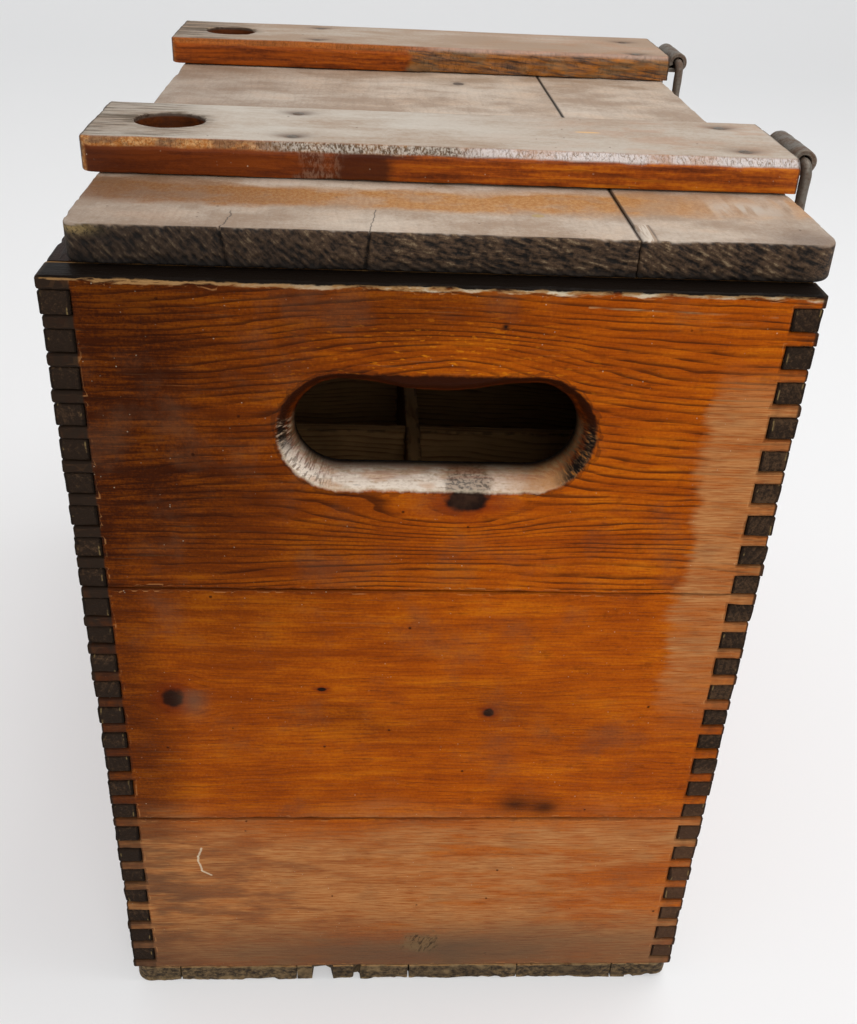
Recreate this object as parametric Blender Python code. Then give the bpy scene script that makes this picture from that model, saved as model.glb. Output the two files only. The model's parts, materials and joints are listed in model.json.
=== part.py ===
"""Soda siphon crate: a box-jointed pine crate with a hinged lid and six pockets for siphons.

X runs across the end panels, Y along the crate and Z up. The origin is on the floor, under the middle
of the crate. The front end panel faces -Y, and the lid is hinged along the right wall, on +X.
"""

import math

import bmesh
import bpy
from mathutils import Vector

# Walls
CRATE_WIDTH = 0.2430
CRATE_LENGTH = 0.4000
END_THICK = 0.0127
SIDE_THICK = 0.0095
BOTTOM_THICK = 0.0095
WORN_TOP_EDGE = 0.0025
SIDE_TOP_EDGE = 0.0012
BOTTOM_CORNER_RADIUS = 0.0070

# Box joints: the end boards have the thin fingers, the side boards the thick ones
FINGER_PITCH = 0.01270
END_FINGER = 0.00476
SIDE_FINGERS = 25

# Finger number, counted from the bottom, that each seam between two wall boards lies on
END_SEAM_FINGERS = (7, 16)
SIDE_SEAM_FINGERS = (8, 17)

# Joints between the bottom boards, as shares of the crate's width
BOTTOM_SEAM_SHARES = (0.298, 0.710)

# Clearances
FIT_GAP = 0.0003
OVERRUN = 0.0040

# Hand slots in the end panels
SLOT_WIDTH = 0.0950
SLOT_HEIGHT = 0.0320
SLOT_FLARE = 0.0058
SLOT_DROP = 0.0516
SLOT_SHIFT = 0.0020
SLOT_WORN_DIP = 0.0036
SLOT_FLARE_SHARES = ((0.0, 1.0), (0.18, 0.62), (0.42, 0.26), (0.72, 0.05), (1.0, 0.0))
SLOT_ARC_STEPS = 8
SLOT_EDGE_STEPS = 6

# Partitions
DIVIDER_THICK = 0.00635
DIVIDER_HEIGHT = 0.2032
GROOVE_DEPTH = 0.0030
GROOVE_END_GAP = 0.0005
CROSS_DIVIDERS = 2

# Lid boards: set back at the ends and on the left, over the wall on the hinge side
LID_THICK = 0.0125
LID_END_SETBACK = 0.0094
LID_LEFT_SETBACK = 0.0060
LID_RIGHT_OVERHANG = 0.0062
NARROW_BOARD_WIDTH = 0.0648
LID_CORNER_RADIUS = 0.0080
LID_HINGE_CORNER_RADIUS = 0.0110
LID_WORN_EDGE = 0.0014

# Battens
BATTEN_WIDTH = 0.0610
BATTEN_THICK = 0.0119
BATTEN_INSET = 0.0571
BATTEN_LEFT_OVERHANG = 0.0055
BATTEN_RIGHT_OVERHANG = 0.0023
BATTEN_CHAMFER = 0.0034
BATTEN_CORNER_RADIUS = 0.0045
FINGER_HOLE_DIAMETER = 0.0254
FINGER_HOLE_INSET = 0.0267
HOLE_STEPS = 24

# Hinges
WIRE_DIAMETER = 0.0040
BARREL_BORE = 0.0053
STRAP_THICK = 0.0020
BARREL_LENGTH = 0.0310
AXIS_OUTSIDE_BATTEN = 0.0063
AXIS_BELOW_BATTEN_TOP = 0.0044
LEAF_DEPTH = 0.0340
KERF_GAP = 0.0003
ROLL_ANGLE = math.radians(294)
ROLL_STEPS = 13
REAR_HINGE_SHIFT = -0.0060

# Wire loops
WIRE_BEND = 0.0040
WIRE_LOWER_BEND = 0.0060
CLENCH_BEND = 0.0030
CLENCH_LENGTH = 0.0140
CLENCH_GAP = 0.0005
WIRE_HOLE_GAP = 0.0005
WIRE_BELOW_WALL_TOP = 0.0110
BEND_STEPS = 4
WIRE_HOLE_STEPS = 10

# Nails and pins
NAIL_SIDES = 8
LID_NAIL_HEAD = 0.0058
LID_NAIL_SHANK = 0.0028
LID_NAIL_SHORT_OF_FACE = 0.0020
LID_NAIL_SPREAD = 0.0182
LID_NAIL_LEFT_INSET = 0.0720
LID_NAIL_RIGHT_INSET = 0.0170
BOTTOM_NAIL_HEAD = 0.0060
BOTTOM_NAIL_SHANK = 0.0026
BOTTOM_NAIL_LENGTH = 0.0340
BOTTOM_NAIL_EDGE_SHARE = 0.22
PIN_HEAD = 0.0056
PIN_SHANK = 0.0030
PIN_LENGTH = 0.0090
PIN_SPACING = 0.0140
PIN_INSET = 0.0100
HEAD_THICK = 0.0010
HEAD_SUNK = 0.0003
HEAD_DOME_SHARE = 0.55
POINT_SHARE = 0.45
NAIL_HOLE_GAP = 0.0003

# Heights and faces worked out from the sizes above
WALL_HEIGHT = SIDE_FINGERS * FINGER_PITCH + END_FINGER
WALL_BOTTOM = BOTTOM_THICK + FIT_GAP
WALL_TOP = WALL_BOTTOM + WALL_HEIGHT
LID_BOTTOM = WALL_TOP + FIT_GAP
LID_TOP = LID_BOTTOM + LID_THICK
BATTEN_BOTTOM = LID_TOP + FIT_GAP
BATTEN_TOP = BATTEN_BOTTOM + BATTEN_THICK
END_FACE = CRATE_LENGTH / 2
SIDE_FACE = CRATE_WIDTH / 2
INNER_END = END_FACE - END_THICK
INNER_SIDE = SIDE_FACE - SIDE_THICK
BOTTOM_EDGES = [-SIDE_FACE, *(CRATE_WIDTH * share - SIDE_FACE for share in BOTTOM_SEAM_SHARES), SIDE_FACE]
LID_LEFT = LID_LEFT_SETBACK - SIDE_FACE
LID_RIGHT = LID_RIGHT_OVERHANG + SIDE_FACE
LID_SEAM = LID_RIGHT - NARROW_BOARD_WIDTH
LID_END = END_FACE - LID_END_SETBACK
BATTEN_LEFT = LID_LEFT - BATTEN_LEFT_OVERHANG
BATTEN_RIGHT = LID_RIGHT + BATTEN_RIGHT_OVERHANG
BATTEN_MIDDLE = LID_END - BATTEN_INSET - BATTEN_WIDTH / 2
FINGER_HOLE_X = BATTEN_LEFT + FINGER_HOLE_INSET
AXIS_X = BATTEN_RIGHT + AXIS_OUTSIDE_BATTEN
AXIS_Z = BATTEN_TOP - AXIS_BELOW_BATTEN_TOP
BARREL_OUTER = BARREL_BORE / 2 + STRAP_THICK
CELL_LENGTH = (2 * INNER_END - CROSS_DIVIDERS * DIVIDER_THICK) / (CROSS_DIVIDERS + 1)


def material(name, colour, roughness, metallic=0.0):
    """One Principled material."""
    made = bpy.data.materials.new(name)
    made.use_nodes = True
    shader = made.node_tree.nodes["Principled BSDF"]
    shader.inputs["Base Color"].default_value = (*colour, 1.0)
    shader.inputs["Roughness"].default_value = roughness
    shader.inputs["Metallic"].default_value = metallic
    made.diffuse_color = (*colour, 1.0)
    return made


def put(name, mesh, finish, origin=(0.0, 0.0, 0.0), parent=None, smooth=False):
    """Makes an object of a bmesh that is in crate coordinates, with its own origin, on a parent or not."""
    origin = Vector(origin)
    bmesh.ops.translate(mesh, vec=-origin, verts=mesh.verts)
    bmesh.ops.recalc_face_normals(mesh, faces=mesh.faces)
    data = bpy.data.meshes.new(name)
    mesh.to_mesh(data)
    mesh.free()
    if finish:
        data.materials.append(finish)
    if smooth:
        data.shade_smooth()
        data.set_sharp_from_angle(angle=math.radians(40))
    made = bpy.data.objects.new(name, data)
    bpy.context.scene.collection.objects.link(made)
    made.location = origin
    if parent:
        made.parent = parent
        made.location = origin - parent.location
    return made


def cutter(name, mesh):
    """A hidden object that only cuts others."""
    made = put(name, mesh, None)
    made.hide_render = True
    made.display_type = "WIRE"
    return made


def cut(board, tool):
    """Takes the tool's shape out of a board."""
    step = board.modifiers.new(tool.name, "BOOLEAN")
    step.operation = "DIFFERENCE"
    step.solver = "EXACT"
    step.object = tool


def prism(outline, low, high, axis):
    """Extrudes a closed outline from low to high along X, Y or Z; its points hold the other two axes."""
    place = {
        "X": lambda a, b, along: (along, a, b),
        "Y": lambda a, b, along: (a, along, b),
        "Z": lambda a, b, along: (a, b, along),
    }[axis]
    mesh = bmesh.new()
    face = mesh.faces.new([mesh.verts.new(place(a, b, low)) for a, b in outline])
    grown = bmesh.ops.extrude_face_region(mesh, geom=[face])["geom"]
    moved = [item for item in grown if isinstance(item, bmesh.types.BMVert)]
    bmesh.ops.translate(mesh, vec=place(0.0, 0.0, high - low), verts=moved)
    return mesh


def block(low, high):
    """A plain box between two corners."""
    outline = [(low[0], low[1]), (high[0], low[1]), (high[0], high[1]), (low[0], high[1])]
    return prism(outline, low[2], high[2], "Z")


def arc(centre_a, centre_b, radius, start, turn, steps):
    """Points on an arc, both ends included."""
    angles = [start + turn * step / steps for step in range(steps + 1)]
    return [(centre_a + radius * math.cos(t), centre_b + radius * math.sin(t)) for t in angles]


def rounded_plan(x_low, x_high, y_low, y_high, radii, steps=3):
    """A rectangle's outline; radii holds the corners' radii, from low x and low y, counter-clockwise."""
    corners = (
        (x_low, y_low, 1, 1, math.pi),
        (x_high, y_low, -1, 1, 1.5 * math.pi),
        (x_high, y_high, -1, -1, 0.0),
        (x_low, y_high, 1, -1, 0.5 * math.pi),
    )
    outline = []
    for (x, y, toward_x, toward_y, start), radius in zip(corners, radii):
        if radius > 0:
            outline += arc(x + toward_x * radius, y + toward_y * radius, radius, start, math.pi / 2, steps)
        else:
            outline.append((x, y))
    return outline


def bevel_edges(mesh, chosen, width, segments):
    """Rounds the edges that a test on their two ends picks."""
    edges = [edge for edge in mesh.edges if chosen(edge.verts[0].co, edge.verts[1].co)]
    bmesh.ops.bevel(
        mesh, geom=edges, offset=width, offset_type="OFFSET", segments=segments,
        profile=0.5, affect="EDGES",
    )


def revolve(profile, centre, axis, sides):
    """Turns a profile of (radius, height) points, closed at the axis, round a line through centre."""
    mesh = bmesh.new()
    axis = Vector(axis).normalized()
    across = axis.orthogonal().normalized()
    beyond = axis.cross(across)
    centre = Vector(centre)
    rings = []
    for radius, height in profile:
        level = centre + axis * height
        if radius == 0:
            rings.append([mesh.verts.new(level)])
            continue
        ring = []
        for side in range(sides):
            turn = 2 * math.pi * side / sides
            ring.append(mesh.verts.new(level + radius * (across * math.cos(turn) + beyond * math.sin(turn))))
        rings.append(ring)
    for lower, upper in zip(rings, rings[1:]):
        for side in range(sides):
            following = (side + 1) % sides
            if len(lower) == 1:
                mesh.faces.new((lower[0], upper[following], upper[side]))
            elif len(upper) == 1:
                mesh.faces.new((lower[side], lower[following], upper[0]))
            else:
                mesh.faces.new((lower[side], lower[following], upper[following], upper[side]))
    return mesh


def bore(centre, axis, radius, length, sides):
    """A round cutter that starts at centre and runs along axis."""
    return revolve([(0, 0), (radius, 0), (radius, length), (0, length)], centre, axis, sides)


def nail_mesh(centre, axis, head, shank, length):
    """A nail: a low domed head whose underside is at centre, and a pointed shank along axis."""
    point = shank * POINT_SHARE
    profile = [
        (0, -HEAD_THICK),
        (head / 2 * HEAD_DOME_SHARE, -HEAD_THICK),
        (head / 2, -HEAD_THICK * HEAD_DOME_SHARE),
        (head / 2, 0),
        (shank / 2, 0),
        (shank / 2, length - shank),
        (point / 2, length),
        (0, length),
    ]
    return revolve(profile, centre, axis, NAIL_SIDES)


def nail_hole_mesh(centre, axis, head, shank, length):
    """The hole that a nail leaves: its head's seat and its shank's bore, each a clearance larger."""
    head_radius = head / 2 + NAIL_HOLE_GAP
    shank_radius = shank / 2 + NAIL_HOLE_GAP
    profile = [
        (0, -HEAD_THICK - OVERRUN),
        (head_radius, -HEAD_THICK - OVERRUN),
        (head_radius, NAIL_HOLE_GAP),
        (shank_radius, NAIL_HOLE_GAP),
        (shank_radius, length + NAIL_HOLE_GAP),
        (0, length + NAIL_HOLE_GAP),
    ]
    return revolve(profile, centre, axis, NAIL_SIDES)


def nail(name, centre, axis, sizes, boards, parent=None):
    """Drives one nail through boards; sizes holds its head, shank and length."""
    put(name, nail_mesh(centre, axis, *sizes), IRON, centre, parent, smooth=True)
    hole = cutter(name + "_hole", nail_hole_mesh(centre, axis, *sizes))
    for board in boards:
        cut(board, hole)


def finger_edge(low, high, spans, tip, root):
    """Points up a board's end: out at the tip on each finger, in at the root between two."""
    points = []
    height = low
    for finger_low, finger_high in spans:
        finger_low = max(finger_low, low)
        finger_high = min(finger_high, high)
        if finger_high <= finger_low:
            continue
        if finger_low > height:
            points += [(root, height), (root, finger_low)]
        points += [(tip, finger_low), (tip, finger_high)]
        height = finger_high
    if height < high:
        points += [(root, height), (root, high)]
    return points


def comb_outline(low, high, spans, tip, root):
    """A board's outline with the same fingers at both its ends."""
    right = finger_edge(low, high, spans, tip, root)
    return right + [(-across, height) for across, height in reversed(right)]


def board_ranges(seams):
    """Lowest and highest point of each board of a wall, with a gap at every seam."""
    levels = [WALL_BOTTOM] + [WALL_BOTTOM + seam for seam in seams] + [WALL_TOP]
    ranges = []
    for number in range(len(levels) - 1):
        low = levels[number] + (FIT_GAP / 2 if number else 0)
        high = levels[number + 1] - (FIT_GAP / 2 if number < len(levels) - 2 else 0)
        ranges.append((low, high))
    return ranges


def end_finger_spans():
    """Heights of the thin fingers, a half gap short at each side."""
    spans = []
    for number in range(SIDE_FINGERS + 1):
        low = WALL_BOTTOM + number * FINGER_PITCH
        spans.append((low + (FIT_GAP / 2 if number else 0), low + END_FINGER - FIT_GAP / 2))
    spans[-1] = (spans[-1][0], WALL_TOP)
    return spans


def side_finger_spans():
    """Heights of the thick fingers, which fill the room between the thin ones."""
    spans = []
    for number in range(SIDE_FINGERS):
        low = WALL_BOTTOM + number * FINGER_PITCH + END_FINGER
        high = WALL_BOTTOM + (number + 1) * FINGER_PITCH
        spans.append((low + FIT_GAP / 2, high - FIT_GAP / 2))
    return spans


def end_panel(side, facing):
    """Three boards edge to edge; facing is -1 at the front and 1 at the back."""
    seams = [number * FINGER_PITCH + END_FINGER for number in END_SEAM_FINGERS]
    root = INNER_SIDE - FIT_GAP
    boards = []
    for part, (low, high) in zip(("bottom", "middle", "top"), board_ranges(seams)):
        outline = comb_outline(low, high, end_finger_spans(), SIDE_FACE, root)
        mesh = prism(outline, min(facing * INNER_END, facing * END_FACE),
                     max(facing * INNER_END, facing * END_FACE), "Y")
        if part == "top":
            wear_top_edge(mesh, facing)
        place = (0, facing * (END_FACE - END_THICK / 2), (low + high) / 2)
        boards.append(put(f"{side}_end_{part}_board", mesh, END_WOOD, place))
    return boards


def wear_top_edge(mesh, facing):
    """Rounds the outer top edge of an end panel, which hands have worn."""
    def outer_top(first, second):
        high = min(first.z, second.z) > WALL_TOP - FIT_GAP
        outside = min(first.y * facing, second.y * facing) > END_FACE - FIT_GAP
        return high and outside

    bevel_edges(mesh, outer_top, WORN_TOP_EDGE, 2)


def side_wall(side, facing):
    """Three boards edge to edge; facing is -1 at the left and 1 at the right."""
    seams = [number * FINGER_PITCH for number in SIDE_SEAM_FINGERS]
    root = INNER_END - FIT_GAP
    boards = []
    for part, (low, high) in zip(("bottom", "middle", "top"), board_ranges(seams)):
        outline = comb_outline(low, high, side_finger_spans(), END_FACE, root)
        mesh = prism(outline, min(facing * INNER_SIDE, facing * SIDE_FACE),
                     max(facing * INNER_SIDE, facing * SIDE_FACE), "X")
        if part == "top":
            wear_side_edge(mesh, facing)
        place = (facing * (SIDE_FACE - SIDE_THICK / 2), 0, (low + high) / 2)
        boards.append(put(f"{side}_side_{part}_board", mesh, SIDE_WOOD, place))
    return boards


def wear_side_edge(mesh, facing):
    """Rounds the outer top edge of a side wall."""
    def outer_top(first, second):
        high = min(first.z, second.z) > WALL_TOP - FIT_GAP
        outside = min(first.x * facing, second.x * facing) > SIDE_FACE - FIT_GAP
        return high and outside

    bevel_edges(mesh, outer_top, SIDE_TOP_EDGE, 2)


def slot_ring(mesh, flare, along):
    """One outline of the hand slot: two half circles, a straight lower edge and a worn, dipping upper one."""
    radius = SLOT_HEIGHT / 2 + flare
    reach = (SLOT_WIDTH - SLOT_HEIGHT) / 2
    middle = WALL_TOP - SLOT_DROP
    points = arc(reach, 0, radius, -math.pi / 2, math.pi, SLOT_ARC_STEPS)
    for step in range(1, SLOT_EDGE_STEPS):
        share = 1 - 2 * step / SLOT_EDGE_STEPS
        dip = SLOT_WORN_DIP * (1 + math.cos(math.pi * share)) / 2
        points.append((reach * share, radius - dip))
    points += arc(-reach, 0, radius, math.pi / 2, math.pi, SLOT_ARC_STEPS)
    return [mesh.verts.new((SLOT_SHIFT + x, along, middle + z)) for x, z in points]


def slot_cutter(name, facing):
    """A hand slot that opens out in a smooth lip towards the outer face."""
    mesh = bmesh.new()
    rings = [slot_ring(mesh, SLOT_FLARE, facing * (END_FACE + OVERRUN))]
    for depth_share, flare_share in SLOT_FLARE_SHARES:
        rings.append(slot_ring(mesh, SLOT_FLARE * flare_share, facing * (END_FACE - END_THICK * depth_share)))
    rings.append(slot_ring(mesh, 0, facing * (INNER_END - OVERRUN)))
    for outer, inner in zip(rings, rings[1:]):
        for number in range(len(outer)):
            after = (number + 1) % len(outer)
            mesh.faces.new((outer[number], outer[after], inner[after], inner[number]))
    mesh.faces.new(rings[0])
    mesh.faces.new(rings[-1])
    return cutter(name, mesh)


def bottom_boards():
    """Boards that run lengthwise under the walls, with the crate's outer corners rounded."""
    names = ("left", "middle", "right")
    boards = []
    for number, part in enumerate(names):
        low = BOTTOM_EDGES[number] + (FIT_GAP / 2 if number else 0)
        high = BOTTOM_EDGES[number + 1] - (FIT_GAP / 2 if number < len(names) - 1 else 0)
        left_radius = 0 if number else BOTTOM_CORNER_RADIUS
        right_radius = 0 if number < len(names) - 1 else BOTTOM_CORNER_RADIUS
        outline = rounded_plan(low, high, -END_FACE, END_FACE,
                               (left_radius, right_radius, right_radius, left_radius))
        mesh = prism(outline, 0.0, BOTTOM_THICK, "Z")
        place = ((low + high) / 2, 0, BOTTOM_THICK / 2)
        boards.append(put(f"{part}_bottom_board", mesh, BOTTOM_WOOD, place))
    return boards


def bottom_nails(boards, end_walls):
    """Two nails at each end of every bottom board, driven up into the end panels."""
    sizes = (BOTTOM_NAIL_HEAD, BOTTOM_NAIL_SHANK, BOTTOM_NAIL_LENGTH)
    for facing, side in ((-1, "front"), (1, "back")):
        number = 0
        for board, low, high in zip(boards, BOTTOM_EDGES, BOTTOM_EDGES[1:]):
            for share in (BOTTOM_NAIL_EDGE_SHARE, 1 - BOTTOM_NAIL_EDGE_SHARE):
                number += 1
                place = (low + (high - low) * share, facing * (END_FACE - END_THICK / 2),
                         HEAD_THICK + HEAD_SUNK)
                nail(f"{side}_bottom_nail_{number}", place, (0, 0, 1), sizes, (board, end_walls[facing]))


def long_divider():
    """The partition along the middle, notched from below where the cross partitions pass."""
    reach = INNER_END + GROOVE_DEPTH - GROOVE_END_GAP
    bottom = WALL_BOTTOM
    top = bottom + DIVIDER_HEIGHT
    lap = bottom + DIVIDER_HEIGHT / 2
    notch = DIVIDER_THICK / 2 + FIT_GAP
    outline = [(-reach, bottom)]
    for place in cross_places():
        near = place - notch
        far = place + notch
        outline += [(near, bottom), (near, lap), (far, lap), (far, bottom)]
    outline += [(reach, bottom), (reach, top), (-reach, top)]
    mesh = prism(outline, -DIVIDER_THICK / 2, DIVIDER_THICK / 2, "X")
    return put("long_divider", mesh, DIVIDER_WOOD, (0, 0, lap))


def cross_divider(name, place):
    """A partition across the crate, notched from above where the long one passes."""
    reach = INNER_SIDE + GROOVE_DEPTH - GROOVE_END_GAP
    bottom = WALL_BOTTOM
    top = bottom + DIVIDER_HEIGHT
    lap = bottom + DIVIDER_HEIGHT / 2 - FIT_GAP
    notch = DIVIDER_THICK / 2 + FIT_GAP
    outline = [(-reach, bottom), (reach, bottom), (reach, top), (notch, top), (notch, lap),
               (-notch, lap), (-notch, top), (-reach, top)]
    mesh = prism(outline, place - DIVIDER_THICK / 2, place + DIVIDER_THICK / 2, "Y")
    return put(name, mesh, DIVIDER_WOOD, (0, place, lap))


def cross_places():
    """Where the cross partitions stand, so that all pockets have one length."""
    step = CELL_LENGTH + DIVIDER_THICK
    first = -INNER_END + CELL_LENGTH + DIVIDER_THICK / 2
    return [first + step * number for number in range(CROSS_DIVIDERS)]


def cut_grooves(end_walls, side_walls):
    """Grooves in the walls' inner faces for the partitions' ends."""
    half = DIVIDER_THICK / 2 + FIT_GAP
    low = WALL_BOTTOM - OVERRUN
    high = WALL_BOTTOM + DIVIDER_HEIGHT + FIT_GAP
    for facing, boards in end_walls.items():
        near = facing * (INNER_END - OVERRUN)
        deep = facing * (INNER_END + GROOVE_DEPTH)
        mesh = block((-half, min(near, deep), low), (half, max(near, deep), high))
        groove = cutter(f"end_groove_{facing}", mesh)
        for board in boards[:2]:
            cut(board, groove)
    for facing, boards in side_walls.items():
        near = facing * (INNER_SIDE - OVERRUN)
        deep = facing * (INNER_SIDE + GROOVE_DEPTH)
        for number, place in enumerate(cross_places()):
            mesh = block((min(near, deep), place - half, low), (max(near, deep), place + half, high))
            groove = cutter(f"side_groove_{facing}_{number}", mesh)
            for board in boards[:2]:
                cut(board, groove)


def lid_boards(hinge):
    """The wide board at the left and the narrow one at the hinge side."""
    corner = LID_CORNER_RADIUS
    hinge_corner = LID_HINGE_CORNER_RADIUS
    spans = (
        ("lid_wide_board", LID_LEFT, LID_SEAM - FIT_GAP / 2, (corner, 0, 0, corner)),
        ("lid_narrow_board", LID_SEAM + FIT_GAP / 2, LID_RIGHT, (0, hinge_corner, hinge_corner, 0)),
    )
    boards = []
    for name, low, high, radii in spans:
        mesh = prism(rounded_plan(low, high, -LID_END, LID_END, radii), LID_BOTTOM, LID_TOP, "Z")

        def outer_top(first, second):
            above = min(first.z, second.z) > LID_TOP - FIT_GAP
            at_seam = max(abs(first.x - LID_SEAM), abs(second.x - LID_SEAM)) < FIT_GAP
            return above and not at_seam

        bevel_edges(mesh, outer_top, LID_WORN_EDGE, 2)
        boards.append(put(name, mesh, LID_WOOD, ((low + high) / 2, 0, (LID_BOTTOM + LID_TOP) / 2), hinge))
    return boards


def batten(side, middle, hinge):
    """A cross batten, with its long top edges chamfered and its left corners rounded."""
    corner = BATTEN_CORNER_RADIUS
    outline = rounded_plan(BATTEN_LEFT, BATTEN_RIGHT, middle - BATTEN_WIDTH / 2, middle + BATTEN_WIDTH / 2,
                           (corner, 0, 0, corner))
    mesh = prism(outline, BATTEN_BOTTOM, BATTEN_TOP, "Z")

    def long_top(first, second):
        high = min(first.z, second.z) > BATTEN_TOP - FIT_GAP
        lengthwise = abs(first.x - second.x) > (BATTEN_RIGHT - BATTEN_LEFT) / 2
        return high and lengthwise

    bevel_edges(mesh, long_top, BATTEN_CHAMFER, 1)
    centre = ((BATTEN_LEFT + BATTEN_RIGHT) / 2, middle, (BATTEN_BOTTOM + BATTEN_TOP) / 2)
    return put(f"{side}_batten", mesh, BATTEN_WOOD, centre, hinge)


def finger_hole(side, middle, boards):
    """A one inch hole bored through the batten and the lid board under it."""
    start = (FINGER_HOLE_X, middle, LID_BOTTOM - OVERRUN)
    depth = BATTEN_TOP - LID_BOTTOM + 2 * OVERRUN
    hole = cutter(f"{side}_finger_hole", bore(start, (0, 0, 1), FINGER_HOLE_DIAMETER / 2, depth, HOLE_STEPS))
    for board in boards:
        cut(board, hole)


def lid_nails(side, middles, batten_board, boards, hinge):
    """Four nails through each batten: two into the wide lid board, two beside the strap."""
    length = BATTEN_TOP - LID_BOTTOM - HEAD_SUNK - HEAD_THICK - LID_NAIL_SHORT_OF_FACE
    sizes = (LID_NAIL_HEAD, LID_NAIL_SHANK, length)
    number = 0
    insets = (BATTEN_LEFT + LID_NAIL_LEFT_INSET, BATTEN_RIGHT - LID_NAIL_RIGHT_INSET)
    for across, centre, lid_board in zip(insets, middles, boards):
        for way in (-1, 1):
            number += 1
            place = (across, centre + way * LID_NAIL_SPREAD, BATTEN_TOP - HEAD_THICK - HEAD_SUNK)
            nail(f"{side}_batten_nail_{number}", place, (0, 0, -1), sizes, (batten_board, lid_board), hinge)


def strap(side, middle, batten_board, hinge):
    """An iron strap: a flat leaf let into the batten's end, rolled at its outer end into a barrel."""
    inner = BARREL_BORE / 2
    start = -math.pi / 2
    outer_arc = arc(AXIS_X, AXIS_Z, BARREL_OUTER, start, ROLL_ANGLE, ROLL_STEPS)
    inner_arc = arc(AXIS_X, AXIS_Z, inner, start, ROLL_ANGLE, ROLL_STEPS)
    leaf_end = BATTEN_RIGHT - LEAF_DEPTH
    leaf_bottom = AXIS_Z - BARREL_OUTER
    leaf_top = AXIS_Z - inner
    outline = [(leaf_end, leaf_bottom), *outer_arc, *reversed(inner_arc), (leaf_end, leaf_top)]
    low = middle - BARREL_LENGTH / 2
    high = middle + BARREL_LENGTH / 2
    piece = put(f"{side}_hinge_strap", prism(outline, low, high, "Y"), IRON, (AXIS_X, middle, AXIS_Z), hinge,
                smooth=True)
    kerf = block(
        (leaf_end - KERF_GAP, low - KERF_GAP, leaf_bottom - KERF_GAP),
        (BATTEN_RIGHT + OVERRUN, high + KERF_GAP, leaf_top + KERF_GAP),
    )
    cut(batten_board, cutter(f"{side}_kerf", kerf))
    for number in range(2):
        across = BATTEN_RIGHT - PIN_INSET - number * PIN_SPACING
        place = (across, middle, BATTEN_BOTTOM + HEAD_THICK + HEAD_SUNK)
        nail(f"{side}_strap_pin_{number + 1}", place, (0, 0, 1), (PIN_HEAD, PIN_SHANK, PIN_LENGTH),
             (batten_board, piece), hinge)
    return piece


def bent_path(corners, radii):
    """A line through corners, each turned by a quarter circle of its own radius."""
    corners = [Vector(corner) for corner in corners]
    points = [corners[0]]
    for before, corner, after, radius in zip(corners, corners[1:], corners[2:], radii):
        into = (corner - before).normalized()
        out = (after - corner).normalized()
        centre = corner - into * radius + out * radius
        for step in range(BEND_STEPS + 1):
            turn = math.pi / 2 * step / BEND_STEPS
            points.append(centre - out * radius * math.cos(turn) + into * radius * math.sin(turn))
    points.append(corners[-1])
    return points


def wire_loop(side, middle, wall_board):
    """A bent rod: up outside the lid, through the barrel and down again, its ends clenched in the crate."""
    reach = BARREL_LENGTH / 2 + WIRE_BEND
    height = WALL_TOP - WIRE_BELOW_WALL_TOP
    inside = INNER_SIDE - CLENCH_GAP - WIRE_DIAMETER / 2
    low = middle - reach
    high = middle + reach
    corners = [
        (inside, low, height - CLENCH_LENGTH), (inside, low, height), (AXIS_X, low, height),
        (AXIS_X, low, AXIS_Z), (AXIS_X, high, AXIS_Z), (AXIS_X, high, height),
        (inside, high, height), (inside, high, height - CLENCH_LENGTH),
    ]
    radii = (CLENCH_BEND, WIRE_LOWER_BEND, WIRE_BEND, WIRE_BEND, WIRE_LOWER_BEND, CLENCH_BEND)
    origin = Vector((AXIS_X, middle, AXIS_Z))
    points = [point - origin for point in bent_path(corners, radii)]
    curve = bpy.data.curves.new(f"{side}_wire_loop", "CURVE")
    curve.dimensions = "3D"
    curve.bevel_depth = WIRE_DIAMETER / 2
    curve.bevel_resolution = 2
    curve.use_fill_caps = True
    spline = curve.splines.new("POLY")
    spline.points.add(len(points) - 1)
    for knot, point in zip(spline.points, points):
        knot.co = (*point, 1.0)
    curve.materials.append(IRON)
    made = bpy.data.objects.new(f"{side}_wire_loop", curve)
    bpy.context.scene.collection.objects.link(made)
    made.location = origin
    radius = WIRE_DIAMETER / 2 + WIRE_HOLE_GAP
    for number, along in enumerate((low, high)):
        start = (INNER_SIDE - OVERRUN, along, height)
        depth = SIDE_THICK + 2 * OVERRUN
        hole = bore(start, (1, 0, 0), radius, depth, WIRE_HOLE_STEPS)
        cut(wall_board, cutter(f"{side}_wire_hole_{number}", hole))
    return made


for old in list(bpy.data.objects):
    bpy.data.objects.remove(old, do_unlink=True)

END_WOOD = material("varnished_pine", (0.42, 0.16, 0.035), 0.42)
SIDE_WOOD = material("side_pine", (0.36, 0.15, 0.045), 0.5)
BOTTOM_WOOD = material("worn_bottom_pine", (0.19, 0.11, 0.06), 0.75)
DIVIDER_WOOD = material("bare_pine", (0.45, 0.28, 0.14), 0.7)
LID_WOOD = material("weathered_pine", (0.30, 0.21, 0.15), 0.7)
BATTEN_WOOD = material("batten_pine", (0.33, 0.19, 0.10), 0.62)
IRON = material("old_iron", (0.16, 0.13, 0.11), 0.55, 0.8)

front_panel = end_panel("front", -1)
back_panel = end_panel("back", 1)
left_wall = side_wall("left", -1)
right_wall = side_wall("right", 1)
cut(front_panel[2], slot_cutter("front_slot", -1))
cut(back_panel[2], slot_cutter("back_slot", 1))
bottom_nails(bottom_boards(), {-1: front_panel[0], 1: back_panel[0]})

long_divider()
for divider_name, divider_place in zip(("front_cross_divider", "rear_cross_divider"), cross_places()):
    cross_divider(divider_name, divider_place)
cut_grooves({-1: front_panel, 1: back_panel}, {-1: left_wall, 1: right_wall})

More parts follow.
